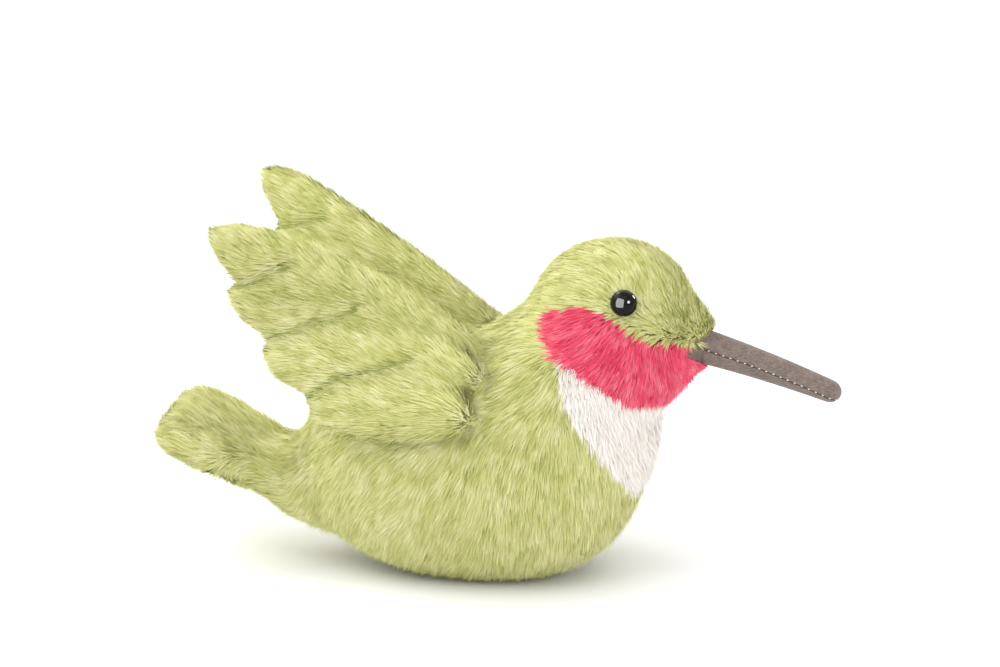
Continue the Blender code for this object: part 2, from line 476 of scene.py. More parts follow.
def evened(values: np.ndarray, edges: np.ndarray, passes: int) -> np.ndarray:
    """Averages values over neighbouring points.

    Args:
        values: one row for each point.
        edges: the mesh's edges.
        passes: how many times each point takes its neighbours' average.

    Returns:
        The smoothed values.
    """
    rows = values.reshape(len(values), -1)
    count = np.bincount(edges.ravel(), minlength=len(rows)).clip(1)[:, None]
    for _ in range(passes):
        total = np.zeros_like(rows)
        for column in range(rows.shape[1]):
            there = np.bincount(edges[:, 0], rows[edges[:, 1], column], len(rows))
            back = np.bincount(edges[:, 1], rows[edges[:, 0], column], len(rows))
            total[:, column] = there + back
        rows = 0.5 * rows + 0.5 * total / count
    return rows.reshape(values.shape)


def unit_rows(rows: np.ndarray) -> np.ndarray:
    """Each row at length 1."""
    return rows / np.linalg.norm(rows, axis=1, keepdims=True).clip(1e-9)


def ramp(values: np.ndarray, start: float, end: float) -> np.ndarray:
    """A smooth step from 0 at start to 1 at end, which may be the smaller."""
    share = ((values - start) / (end - start)).clip(0, 1)
    return share * share * (3 - 2 * share)


def at(node: str, x: float, y: float, z: float) -> np.ndarray:
    """A point at shares of a CAD node's box along X, Y and Z."""
    low, high = (np.array(corner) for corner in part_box(node))
    return low + (high - low) * np.array((x, y, z))


def leaning(degrees: np.ndarray) -> np.ndarray:
    """Directions that lean back from straight down by so many degrees."""
    turn = np.radians(degrees)
    return np.stack((-np.sin(turn), np.zeros_like(turn), -np.cos(turn)), axis=1)


def line_distance(points: np.ndarray, start: np.ndarray, end: np.ndarray) -> np.ndarray:
    """How far points are from a straight line.

    Args:
        points: the points.
        start: where the line starts.
        end: where it ends.

    Returns:
        The distance of each point.
    """
    along = end - start
    share = ((points - start) @ along / (along @ along)).clip(0, 1)
    return np.linalg.norm(points - start - share[:, None] * along, axis=1)


# ---- finishes ------------------------------------------------------------------------


def new_material(name: str) -> tuple[bpy.types.Material, Graph, bpy.types.Node]:
    """An empty material.

    Args:
        name: its name.

    Returns:
        The material, its graph and its Principled shader.
    """
    material = bpy.data.materials.new(name)
    material.use_nodes = True
    material.node_tree.nodes.clear()
    graph = Graph(material.node_tree)
    shader = material.node_tree.nodes.new("ShaderNodeBsdfPrincipled")
    output = material.node_tree.nodes.new("ShaderNodeOutputMaterial")
    material.node_tree.links.new(shader.outputs["BSDF"], output.inputs["Surface"])
    return material, graph, shader


def shader_attribute(graph: Graph, name: str) -> Signal:
    """A number that a mesh's points carry."""
    return graph.node("ShaderNodeAttribute", {"attribute_name": name}, {}, "Fac")


def mixed(graph: Graph, share: object, first: object, second: object) -> Signal:
    """A colour between two, by share."""
    settings = {"data_type": "RGBA", "clamp_factor": True}
    return graph.node("ShaderNodeMix", settings, {0: share, 6: first, 7: second}, 2)


def grain(graph: Graph, scale: float, detail: float = 2.0) -> Signal:
    """Noise over an object.

    Args:
        graph: the material's graph.
        scale: how many waves it has to the metre.
        detail: how many finer layers it has.

    Returns:
        The noise, from 0 to 1.
    """
    place = graph.node("ShaderNodeTexCoord", {}, {}, "Object")
    values = {"Vector": place, "Scale": scale, "Detail": detail}
    return graph.node("ShaderNodeTexNoise", {}, values, "Fac")


@dataclass(frozen=True)
class PileFinish:
    """Long soft pile: darker at its root as painted shade, pale at its tips, uneven from lock to
    lock.
    """

    name: str
    # deep: painted shade at the roots, also the tone of the darkest locks
    deep: Colour
    body: Colour
    light: Colour
    root_fade: float = 1.9  # how soon the deep colour, painted shade at the root, gives way above it
    tip_fade: float = 1.3  # how soon the light colour comes in below the tip
    lock_spread: float = 0.8  # how far single locks differ in tone
    clump_spread: float = 0.5
    patch_spread: float = 0.8
    patch_scale: float = 60.0  # patches to the metre
    # the tufts' tone follows their height: painted shade on sunken tufts, painted light on raised
    # ones
    tuft_spread: float = 0.7
    # painted shade for the locks in sewn lines, folds and under the wings
    painted_crease_shade: Colour = (0.55, 0.60, 0.40)
    sheen: float = 0.06

    def material(self) -> bpy.types.Material:
        """The material of the locks, read from what each lock carries.

        Returns:
            The new material.
        """
        material, graph, shader = new_material(self.name)
        rise = shader_attribute(graph, "rise")
        tone = shader_attribute(graph, "tone")
        clump = shader_attribute(graph, "clump")
        crease = shader_attribute(graph, "crease")
        tuft = shader_attribute(graph, "tuft")
        patch = grain(graph, self.patch_scale)
        # painted shade: the deep colour at each lock's root, reaching further up in creases
        depth = (rise * self.root_fade).at_most(1.0) * (1 - crease * 0.7)
        colour = mixed(graph, depth, self.deep, self.body)
        spread = (tone - 0.5) * self.lock_spread + (clump - 0.5) * self.clump_spread
        # the tuft term is painted shade on sunken tufts and painted light on raised ones
        spread = spread + (patch - 0.5) * self.patch_spread + tuft * self.tuft_spread
        pale = (spread + 0.12).at_least(0.0) * (rise * self.tip_fade).at_most(1.0)
        colour = mixed(graph, pale, colour, self.light)
        dark = (-0.08 - spread).at_least(0.0)
        colour = mixed(graph, dark, colour, self.deep)
        # painted shade: the locks darken in sewn lines, folds and the hollow under each wing
        shade = colour * self.painted_crease_shade
        graph.feed(shader.inputs["Base Color"], mixed(graph, crease * crease * 0.9, colour, shade))
        shader.inputs["Roughness"].default_value = 0.9
        shader.inputs["Specular IOR Level"].default_value = 0.0
        shader.inputs["Sheen Weight"].default_value = self.sheen
        shader.inputs["Sheen Roughness"].default_value = 0.5
        return material


@dataclass(frozen=True)
class BackingFinish:
    """The fabric that the pile grows from, in the same markings as the pile."""

    name: str
    green: Colour
    pink: Colour
    white: Colour
    suede: Colour

    def material(self) -> bpy.types.Material:
        """The material of the skin.

        Returns:
            The new material.
        """
        material, graph, shader = new_material(self.name)
        patch = grain(graph, 900.0, 3.0)
        colour = mixed(graph, shader_attribute(graph, "throat"), self.green, self.pink)
        colour = mixed(graph, shader_attribute(graph, "bib"), colour, self.white)
        colour = mixed(graph, shader_attribute(graph, "gape"), colour, self.suede)
        shade = colour * (0.55, 0.55, 0.5)
        graph.feed(shader.inputs["Base Color"], mixed(graph, patch, shade, colour))
        values = {"Height": patch, "Distance": 0.0008, "Strength": 0.8}
        graph.feed(shader.inputs["Normal"], graph.node("ShaderNodeBump", {}, values))
        shader.inputs["Roughness"].default_value = 0.95
        shader.inputs["Specular IOR Level"].default_value = 0.1
        return material


@dataclass(frozen=True)
class SuedeFinish:
    """Brushed suede cloth: a fine directional nap with darker rubs."""

    name: str
    body: Colour
    rubbed: Colour
    tip: Colour

    def material(self) -> bpy.types.Material:
        """The material of the bill.

        Returns:
            The new material.
        """
        material, graph, shader = new_material(self.name)
        place = graph.node("ShaderNodeTexCoord", {}, {}, "Object")
        turned = graph.node(
            "ShaderNodeMapping",
            {},
            {"Vector": place, "Rotation": (0.0, math.radians(20), 0.0), "Scale": (0.3, 1, 1)},
        )
        nap_values = {"Vector": turned, "Scale": 3400.0, "Detail": 3.0}
        nap = graph.node("ShaderNodeTexNoise", {}, nap_values, "Fac")
        rub = grain(graph, 420.0, 3.0)
        worn = ((rub - 0.42) * 4.0).at_least(0.0).at_most(1.0)
        colour = mixed(graph, worn * 0.6, self.rubbed, self.body)
        fine = ((nap - 0.4) * 3.0).at_least(0.0).at_most(1.0)
        colour = mixed(graph, fine * 0.45, colour, self.tip)
        graph.feed(shader.inputs["Base Color"], colour)
        height = nap * 0.6 + rub * 0.4
        values = {"Height": height, "Distance": 0.0003, "Strength": 0.7}
        graph.feed(shader.inputs["Normal"], graph.node("ShaderNodeBump", {}, values))
        shader.inputs["Roughness"].default_value = 0.9
        shader.inputs["Specular IOR Level"].default_value = 0.15
        shader.inputs["Sheen Weight"].default_value = 0.3
        return material


@dataclass(frozen=True)
class PlainFinish:
    """A smooth finish with a slight unevenness: moulded plastic, thread or paper."""

    name: str
    body: Colour
    flecks: Colour
    roughness: float
    scale: float
    specular: float = 0.5

    def material(self) -> bpy.types.Material:
        """The material.

        Returns:
            The new material.
        """
        material, graph, shader = new_material(self.name)
        fleck = grain(graph, self.scale, 3.0)
        graph.feed(shader.inputs["Base Color"], mixed(graph, fleck, self.body, self.flecks))
        values = {"Height": fleck, "Distance": 0.00005, "Strength": 0.15}
        graph.feed(shader.inputs["Normal"], graph.node("ShaderNodeBump", {}, values))
        shader.inputs["Roughness"].default_value = self.roughness
        shader.inputs["Specular IOR Level"].default_value = self.specular
        return material


# each pile's deep colour is painted shade at the roots of its locks
GREEN_PILE = PileFinish(
    "green plush", (0.39, 0.43, 0.10), (0.67, 0.67, 0.265), (0.85, 0.83, 0.48)
)
PINK_PILE = PileFinish(
    "pink plush", (0.60, 0.03, 0.08), (0.88, 0.092, 0.175), (0.96, 0.30, 0.36)
)
WHITE_PILE = PileFinish(
    "white plush", (0.91, 0.84, 0.77), (0.98, 0.93, 0.875), (0.99, 0.97, 0.94)
)
BACKING = BackingFinish(
    "plush backing",
    (0.40, 0.41, 0.12),
    (0.55, 0.05, 0.09),
    (0.84, 0.78, 0.73),
    (0.22, 0.175, 0.15),
)
SUEDE = SuedeFinish("grey suede", (0.212, 0.17, 0.146), (0.14, 0.108, 0.092), (0.37, 0.30, 0.265))
THREAD = PlainFinish("grey thread", (0.72, 0.67, 0.62), (0.55, 0.50, 0.45), 0.8, 4000.0, 0.2)
EYE_BLACK = PlainFinish(
    "black eye plastic", (0.0004, 0.0004, 0.0004), (0.0008, 0.0008, 0.0008), 0.04, 300.0, 0.15
)
PAPER = PlainFinish("pale paper", (0.93, 0.93, 0.925), (0.95, 0.95, 0.945), 0.9, 20.0, 0.1)


# ---- the stuffed form -------------------------------------------------------------


@dataclass
class Landmarks:
    """Places on the toy, as shares of the solids' boxes, and distances from them."""

    stitch_width: float = 0.0013  # how wide a wing's sewn line pulls the fabric in
    tail_rise: float = 24.0  # degrees
    gape_reach: float = 0.0025  # how far the bare wedge starts behind the bill's root
    gape_rise: float = 0.0002  # how far its middle lies above the bill's own line

    def __post_init__(self) -> None:
        """Works the places out from the frame."""
        self.tail_folds = [at("tail", 0.56, share, 0.50) for share in (0.12, 0.88)]
        self.bill_root = at("bill_upper", 0.15, 0.5, 0.66)
        self.bill_tip = at("bill_upper", 1.0, 0.5, 0.02)
        self.eyes = {
            Side.RIGHT: at("eye_right", 0.5, 0.5, 0.5),
            Side.LEFT: at("eye_left", 0.5, 0.5, 0.5),
        }
        low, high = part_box("eye_right")
        self.eye_radius = (high.x - low.x) / 2

    @staticmethod
    def eye_axis(side: Side) -> Vector:
        """The direction that an eye looks in."""
        return Vector((0.24, side.value * 0.90, 0.36)).normalized()

    def shoulder(self, side: Side) -> np.ndarray:
        """Where a wing's pile starts from."""
        inner = 0.677 if side is Side.RIGHT else 0.323
        return at(WINGS[side].value, 1.0, inner, 0.29)

    def wing_tip(self, side: Side) -> np.ndarray:
        """The end of a wing's leading edge."""
        outer = 0.174 if side is Side.RIGHT else 0.826
        return at(WINGS[side].value, 0.0, outer, 0.936)

    def wing_corner(self, side: Side) -> np.ndarray:
        """The lower front corner of a wing's root."""
        outer = 0.12 if side is Side.RIGHT else 0.88
        return at(WINGS[side].value, 0.94, outer, 0.143)

    def stitch_lines(self, side: Side) -> list[list[np.ndarray]]:
        """The sewn lines that part a wing's feathers, seen from the side.

        Args:
            side: which wing.

        Returns:
            For each line its points, from the trailing edge inwards.
        """
        wing = WINGS[side].value
        shares = (
            ((0.06, 0.65), (0.19, 0.72), (0.31, 0.785)),
            ((0.19, 0.40), (0.32, 0.475), (0.48, 0.523), (0.54, 0.57)),
            ((0.37, 0.165), (0.50, 0.265), (0.625, 0.302), (0.763, 0.352)),
        )
        return [[at(wing, x, 0.5, z) for x, z in line] for line in shares]


class StuffedForm:
    """The toy's outer form, fused from the flesh solids, and its measures at any point."""

    swell: float = 0.0002  # closes the gaps between the solids
    grain: float = 0.0010  # size of the fused form's faces
    rounding: int = 4  # smoothing passes
    plug_radius: float = 0.012  # of the ball that fills each eye's socket
    plug_rise: float = 0.2  # how far it stands past the eye's centre, in eye radii

    def __init__(self, landmarks: Landmarks) -> None:
        """Fuses the form and readies the solids for lookups.

        Args:
            landmarks: the places on the toy.
        """
        self.landmarks = landmarks
        self.nodes = [panel.value for panel in Panel]
        self.outline = self.fused()
        self.outside = BVHTree.FromPolygons(*loose_form(self.outline.data))
        self.bill = BVHTree.FromPolygons(*loose_form(merged_copy(["bill_upper", "bill_lower"])))
        corners: list[Vector] = []
        faces: list[tuple[int, ...]] = []
        self.face_panel: list[int] = []
        self.trees: list[BVHTree] = []
        for number, node in enumerate(self.nodes):
            start = len(corners)
            own, own_faces = loose_form(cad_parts[node].data)
            corners.extend(own)
            faces.extend(tuple(start + i for i in face) for face in own_faces)
            self.face_panel.extend([number] * len(own_faces))
            self.trees.append(BVHTree.FromPolygons(own, own_faces))
        self.tree = BVHTree.FromPolygons(corners, faces)

    def fused(self) -> bpy.types.Object:
        """One closed form that follows the outside of the solids, with the eyes' sockets filled.

        Returns:
            The new object.
        """
        mesh = merged_copy([*self.nodes, "bill_upper", "bill_lower"])
        form = bmesh.new()
        form.from_mesh(mesh)
        for side, centre in self.landmarks.eyes.items():
            inwards = self.plug_radius - self.plug_rise * self.landmarks.eye_radius
            middle = Vector(centre) - self.landmarks.eye_axis(side) * inwards
            place = Matrix.Translation(middle)
            bmesh.ops.create_icosphere(
                form, subdivisions=4, radius=self.plug_radius, matrix=place
            )
        form.to_mesh(mesh)
        form.free()
        raw = placed("raw_form", mesh)
        swell = raw.modifiers.new("swell", "DISPLACE")
        swell.mid_level = 0.0
        swell.strength = self.swell
        fuse = raw.modifiers.new("fuse", "REMESH")
        fuse.mode = "VOXEL"
        fuse.voxel_size = self.grain
        ease = raw.modifiers.new("ease", "SMOOTH")
        ease.iterations = self.rounding
        mesh = plain_mesh(raw)
        removed(raw)
        return placed("outline_form", largest_shell(mesh))

    def surface_at(self, points: np.ndarray) -> np.ndarray:
        """The place on the outline that is nearest to each point."""
        return np.array([tuple(self.outside.find_nearest(p)[0]) for p in points.tolist()])

    def on_bill(self, places: np.ndarray) -> np.ndarray:
        """Tells the bill's own surface from the fabric.

        Args:
            places: places on the outline.

        Returns:
            1 for each place on the bill, and 0 for each on the fabric.
        """
        flags = []
        for place in places.tolist():
            to_bill = self.bill.find_nearest(place, 0.02)[3]
            near = to_bill is not None and to_bill < self.tree.find_nearest(place)[3]
            flags.append(float(near))
        return np.array(flags)

    def rim(self, places: np.ndarray) -> np.ndarray:
        """How near places are to the bill: 1 within 2 mm, and 0 from 9 mm."""
        return ramp(self.reached(self.bill, places, 0.009), 0.009, 0.002)

    def panels_at(self, points: np.ndarray) -> np.ndarray:
        """The number of the panel that each point belongs to."""
        return np.array([self.face_panel[self.tree.find_nearest(p)[2]] for p in points.tolist()])

    def distance(self, points: np.ndarray, panel: Panel, reach: float) -> np.ndarray:
        """How far points are from a panel's solid.

        Args:
            points: the points.
            panel: the panel.
            reach: the distance past which it doesn't matter.

        Returns:
            The distance of each point, at most reach.
        """
        return self.reached(self.trees[self.nodes.index(panel.value)], points, reach)

    @staticmethod
    def reached(tree: BVHTree, points: np.ndarray, reach: float) -> np.ndarray:
        """The distance of each point from a surface, at most reach."""
        found = (tree.find_nearest(p, reach)[3] for p in points.tolist())
        return np.array([reach if far is None else far for far in found])


def loose_form(mesh: bpy.types.Mesh) -> tuple[list[Vector], list[tuple[int, ...]]]:
    """A mesh's corners and faces as plain lists."""
    return [v.co.copy() for v in mesh.vertices], [tuple(p.vertices) for p in mesh.polygons]


def largest_shell(mesh: bpy.types.Mesh) -> bpy.types.Mesh:
    """Keeps a mesh's largest connected shell and deletes the others.

    Args:
        mesh: the mesh, which is changed.

    Returns:
        The same mesh.
    """
    edges = edges_of(mesh)
    label = np.arange(len(mesh.vertices))
    while True:
        lower = label.copy()
        np.minimum.at(lower, edges[:, 0], label[edges[:, 1]])
        np.minimum.at(lower, edges[:, 1], label[edges[:, 0]])
        lower = lower[lower]
        if (lower == label).all():
            break
        label = lower
    keep = np.argmax(np.bincount(label))
    form = bmesh.new()
    form.from_mesh(mesh)
    spare = [vertex for vertex in form.verts if label[vertex.index] != keep]
    bmesh.ops.delete(form, geom=spare, context="VERTS")
    form.to_mesh(mesh)
    form.free()
    return mesh


class Measures:
    """What the pile does at each of a set of points on the form."""

    # depth of the coat, and length of its locks
    coat: dict[Panel, tuple[float, float]] = {
        Panel.CROWN: (0.0028, 0.0054),
        Panel.THROAT: (0.0026, 0.0052),
        Panel.BIB: (0.0022, 0.0042),
        Panel.TRUNK: (0.0032, 0.0068),
        Panel.TAIL: (0.0030, 0.0064),
        Panel.WING_LEFT: (0.0026, 0.0058),
        Panel.WING_RIGHT: (0.0026, 0.0058),
    }
    hang: float = 0.0021  # how far the pile above a seam hangs over it
    fold_width: float = 0.0024  # of the fold between a wing and the trunk
    shade_width: float = 0.0026  # of the hollow under a wing that is in shade
    tuck_width: float = 0.0050  # of the hollow under a wing where the pile lies flat
    stitch_lay: float = 0.0022  # how wide a sewn line turns the pile
    eye_ring: tuple[float, float] = (0.0035, 0.0075)  # where the pile parts round an eye
    lay_passes: int = 4  # rounds of evening, twice

    def __init__(
        self, form: StuffedForm, points: np.ndarray, up: np.ndarray, edges: np.ndarray
    ) -> None:
        """Works out each measure in turn.

        Args:
            form: the stuffed form.
            points: the points.
            up: the outward direction at each.
            edges: the mesh's edges, over which measures are evened.
        """
        self.form = form
        self.marks = form.landmarks
        self.points = points
        self.up = up
        self.edges = edges
        self.surface = form.surface_at(points)
        self.panel = form.panels_at(self.surface)
        self.raise_seams()
        self.crease = self.creases()
        self.gape = self.bare_gape()
        self.suede = evened(form.on_bill(self.surface), edges, 1)
        numbers = np.array([self.coat[panel] for panel in Panel])[self.panel]
        evened_numbers = evened(numbers, edges, 10)
        self.depth = evened_numbers[:, 0]
        self.length = evened_numbers[:, 1]
        self.seam = self.seams()

    def mask(self, *panels: Panel) -> np.ndarray:
        """1 on these panels and 0 elsewhere."""
        numbers = [list(Panel).index(panel) for panel in panels]
        return np.isin(self.panel, numbers).astype(float)

    def raise_seams(self) -> None:
        """Moves two seams up by as far as the pile above hangs over them."""
        panels = list(Panel)
        forward = ramp(self.points[:, 0], 0.018, 0.028)
        hangs = (
            (Panel.CROWN, Panel.THROAT, self.hang * forward),
            (Panel.THROAT, Panel.BIB, self.hang),
        )
        for upper, lower, reach in hangs:
            near = self.form.distance(self.surface, lower, 0.004) < reach
            self.panel[(self.panel == panels.index(upper)) & near] = panels.index(lower)

    def creases(self) -> np.ndarray:
        """How much each point lies in a sewn line, a fold or the hollow under a wing, where the
        pile gets painted shade.

        Returns:
            The amount at each point, from 0 to 1.
        """
        self.stitched = self.along_stitches(self.marks.stitch_width)[0]
        amount = self.stitched
        for side, wing in WINGS.items():
            amount = np.maximum(amount, 0.9 * self.under_wing(side, self.shade_width))
            own = self.mask(wing)
            to_trunk = self.form.distance(self.points, Panel.TRUNK, 0.004)
            to_wing = self.form.distance(self.points, wing, 0.004)
            apart = np.where(own > 0, to_trunk, to_wing)
            either = own + self.mask(Panel.TRUNK)
            fold = either * np.exp(-((apart / self.fold_width) ** 2))
            fold = fold * (0.1 + 0.9 * ramp(self.points[:, 0], -0.010, -0.020))
            amount = np.maximum(amount, fold)
        return amount

    def along_stitches(self, width: float) -> tuple[np.ndarray, np.ndarray]:
        """How near each point is to a wing's sewn lines, and which way they run.

        Args:
            width: how far from a line its pull has died away.

        Returns:
            The nearness from 0 to 1, and the line's direction to the trailing edge.
        """
        near = np.zeros(len(self.points))
        runs = np.zeros_like(self.points)
        flat = np.array((1, 0, 1))
        for side, wing in WINGS.items():
            own = self.mask(wing)
            for line in self.marks.stitch_lines(side):
                for start, end in zip(line, line[1:]):
                    far = line_distance(self.points * flat, start * flat, end * flat)
                    amount = own * np.exp(-((far / width) ** 2))
                    closer = amount > near
                    near[closer] = amount[closer]
                    runs[closer] = (start - end) / np.linalg.norm(start - end)
        return near, runs

    def seams(self) -> np.ndarray:
        """How near each point is to the join of two panels of another colour.

        Returns:
            The nearness at each point, from 0 to 1.
        """
        colour = self.mask(Panel.THROAT) + 2 * self.mask(Panel.BIB)
        start, end = self.edges[:, 0], self.edges[:, 1]
        joins = (colour[start] != colour[end]).astype(float)
        amount = np.zeros(len(self.points))
        np.maximum.at(amount, start, joins)
        np.maximum.at(amount, end, joins)
        return evened(amount, self.edges, 3)

    def bare_gape(self) -> np.ndarray:
        """Marks the bare wedge on each side of the bill's root.

        Returns:
            1 at each point in it, and 0 away from it.
        """
        root, tip = self.marks.bill_root, self.marks.bill_tip
        along = (tip - root) / np.linalg.norm(tip - root)
        ahead = (self.points - root) @ along
        above = self.points[:, 2] - root[2] - ahead * along[2] - self.marks.gape_rise
        ahead = ahead + self.marks.gape_reach
        height = 0.0004 + 0.60 * ahead.clip(0)
        inside = ramp(np.abs(above) - height, 0.0008, -0.0004)
        return inside * ramp(ahead, -0.001, 0.001)

    def draw_in(self) -> np.ndarray:
        """How far the skin lies inside the form: deeper in sewn lines, shallower by the bill.

        Returns:
            The depth at each point.
        """
        depth = self.depth + 0.0012 * self.crease + 0.0005 * self.seam
        bill = np.linalg.norm(self.points - self.marks.bill_root, axis=1)
        depth = depth * (0.55 + 0.45 * ramp(bill, 0.006, 0.016))
        depth = depth * (1 - self.gape) + 0.0020 * self.gape
        return depth * (1 - self.suede) + 0.0070 * self.suede

    def lay(self) -> np.ndarray:
        """The direction that the pile is combed in.

        Returns:
            For each point a vector of length 1 along the surface.
        """
        combed = leaning(self.trunk_lean())
        combed = self.choose(combed, leaning(self.crown_lean()), Panel.CROWN)
        combed = self.choose(combed, leaning(self.throat_lean()), Panel.THROAT)
        combed = self.choose(combed, leaning(np.full(len(self.points), -4.0)), Panel.BIB)
        combed = self.choose(combed, self.tail_lay(), Panel.TAIL)
        for side, wing in WINGS.items():
            combed = self.choose(combed, leaning(self.wing_lean(side)), wing)
        near, runs = self.along_stitches(self.stitch_lay)
        combed = combed * (1 - 0.8 * near[:, None]) + 0.8 * near[:, None] * runs
        for eye in self.marks.eyes.values():
            away = self.points - eye
            near = ramp(np.linalg.norm(away, axis=1), *reversed(self.eye_ring))[:, None]
            combed = combed + 0.3 * near * unit_rows(away)
        rim = (self.form.rim(self.surface) * self.mask(Panel.THROAT))[:, None]
        ahead = unit_rows((self.marks.bill_tip - self.marks.bill_root)[None, :])
        combed = combed * (1 - rim) + ahead * rim
        for _ in range(2):
            combed = combed - (combed * self.up).sum(1, keepdims=True) * self.up
            combed = evened(unit_rows(combed), self.edges, self.lay_passes)
        combed = combed - (combed * self.up).sum(1, keepdims=True) * self.up
        return unit_rows(combed)

    def trunk_lean(self) -> np.ndarray:
        """How far the trunk's pile leans back: more to the rear, high up and under a wing.

        Returns:
            The degrees from straight down at each point.
        """
        x, _, z = self.points.T
        back = 3 + 25 * ramp(x, 0.024, -0.028)
        high = 38 * ramp(z, 0.034, 0.056) * ramp(x, 0.026, 0.010)
        under = np.maximum(*(self.under_wing(side, self.tuck_width) for side in Side))
        to_tail = ramp(x, -0.044, -0.060)
        return (back + high) * (1 - under) + 80 * under + 55 * to_tail + 18 * self.knot()

    def under_wing(self, side: Side, reach: float) -> np.ndarray:
        """How near the trunk's points are to the hollow under a wing's lowest feather."""
        near = ramp(self.form.distance(self.points, WINGS[side], 0.006), reach, 0.001)
        return near * ramp(self.points[:, 0], -0.009, -0.017) * self.mask(Panel.TRUNK)

    def knot(self) -> np.ndarray:
        """How near each point is to the corner where a wing is sewn on.

        Returns:
            The nearness at each point, from 0 to 1.
        """
        places = (self.marks.wing_corner(side) for side in Side)
        far = np.minimum(*(np.linalg.norm(self.points - place, axis=1) for place in places))
        return ramp(far, 0.012, 0.005)

    def crown_lean(self) -> np.ndarray:
        """Up over the head before the eye, and back behind it, on the cheek and by the bill.

        Returns:
            The degrees from straight down at each point.
        """
        x = self.points[:, 0]
        eye = self.marks.eyes[Side.RIGHT]
        behind = ramp(x, eye[0] + 0.002, eye[0] - 0.010)
        cheek = ramp(self.form.distance(self.surface, Panel.THROAT, 0.012), 0.009, 0.003)
        nape = ramp(x, eye[0] - 0.014, eye[0] - 0.024)
        brow = ramp(np.linalg.norm(self.points - self.marks.bill_root, axis=1), 0.024, 0.010)
        lean = (162 - 68 * behind) * (1 - cheek) + 116 * cheek - 30 * nape
        return lean * (1 - brow) + 110 * brow

    def throat_lean(self) -> np.ndarray:
        """How far the throat's pile leans back: more with each step from the bill.

        Returns:
            The degrees from straight down at each point.
        """
        low, high = (corner[0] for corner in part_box("throat"))
        share = (high - self.points[:, 0]) / (high - low)
        return 2 + 74 * ramp(share, 0.25, 0.95)

    def tail_lay(self) -> np.ndarray:
        """Along the tail to its end, spread on its top, and down over its folds.

        Returns:
            The direction at each point.
        """
        y = self.points[:, 1]
        along = leaning(np.full(len(y), 90.0 + self.marks.tail_rise))
        top = ramp(self.up[:, 2], 0.2, 0.8)
        along[:, 1] += np.sign(y) * ramp(np.abs(y), 0.004, 0.014) * top * 0.5
        over = np.zeros((len(y), 1))
        for fold in self.marks.tail_folds:
            far = np.linalg.norm((self.points - fold) * (0.7, 1.0, 1.0), axis=1)
            over = np.maximum(over, ramp(far, 0.007, 0.003)[:, None])
        hanging = np.stack((0 * y + 0.1, np.sign(y) * 0.8, 0 * y - 1.0), axis=1)
        return along * (1 - over) + hanging * over

    def wing_lean(self, side: Side) -> np.ndarray:
        """Back and up along a wing's leading edge, and level towards its trailing edge.

        Args:
            side: which wing.

        Returns:
            The degrees from straight down at each point.
        """
        flat = (1, 0, 1)
        shoulder, tip = self.marks.shoulder(side) * flat, self.marks.wing_tip(side) * flat
        below = line_distance(self.points * flat, shoulder, tip)
        lean = 90 + 33 - 30 * ramp(below, 0.003, 0.026) + 9 * ramp(below, 0.028, 0.040)
        root = ramp(self.points[:, 0], -0.018, -0.004) * ramp(below, 0.006, 0.018)
        return lean * (1 - root) + 48 * root

    def choose(self, combed: np.ndarray, other: np.ndarray, panel: Panel) -> np.ndarray:
        """Takes another direction on one panel."""
        own = self.mask(panel)[:, None]
        return combed * (1 - own) + other * own

    def lock_length(self) -> np.ndarray:
        """How long the locks are: shorter by the eyes, the bill, a seam and a sewn line.

        Returns:
            The length at each point.
        """
        bill = np.linalg.norm(self.points - self.marks.bill_root, axis=1)
        length = self.length * (0.50 + 0.50 * ramp(bill, 0.005, 0.017))
        to_throat = self.form.distance(self.surface, Panel.THROAT, 0.005)
        length = length * (1 - 0.1 * ramp(to_throat, 0.004, 0.001) * self.mask(Panel.CROWN))
        root = ramp(self.points[:, 0], -0.014, -0.006)
        length = length * (1 - 0.15 * root * self.mask(*WINGS.values()))
        for eye in self.marks.eyes.values():
            far = np.linalg.norm(self.points - eye, axis=1)
            length = length * (0.55 + 0.45 * ramp(far, 0.004, 0.010))
        return length * (1 - 0.45 * self.crease) * (1 + 0.2 * self.knot())

    def fullness(self) -> np.ndarray:
        """The share of the locks that grow: none under an eye, the bill or a stitch.

        Returns:
            The share at each point, from 0 to 1.
        """
        full = (1 - ramp(self.gape, 0.25, 0.6)) * (1 - ramp(self.suede, 0.3, 0.6))
        full = full * (1 - 0.95 * ramp(self.stitched, 0.5, 0.95))
        for eye in self.marks.eyes.values():
            far = np.linalg.norm(self.points - eye, axis=1)
            full = full * ramp(far, self.marks.eye_radius * 0.80, self.marks.eye_radius * 0.98)
        return full


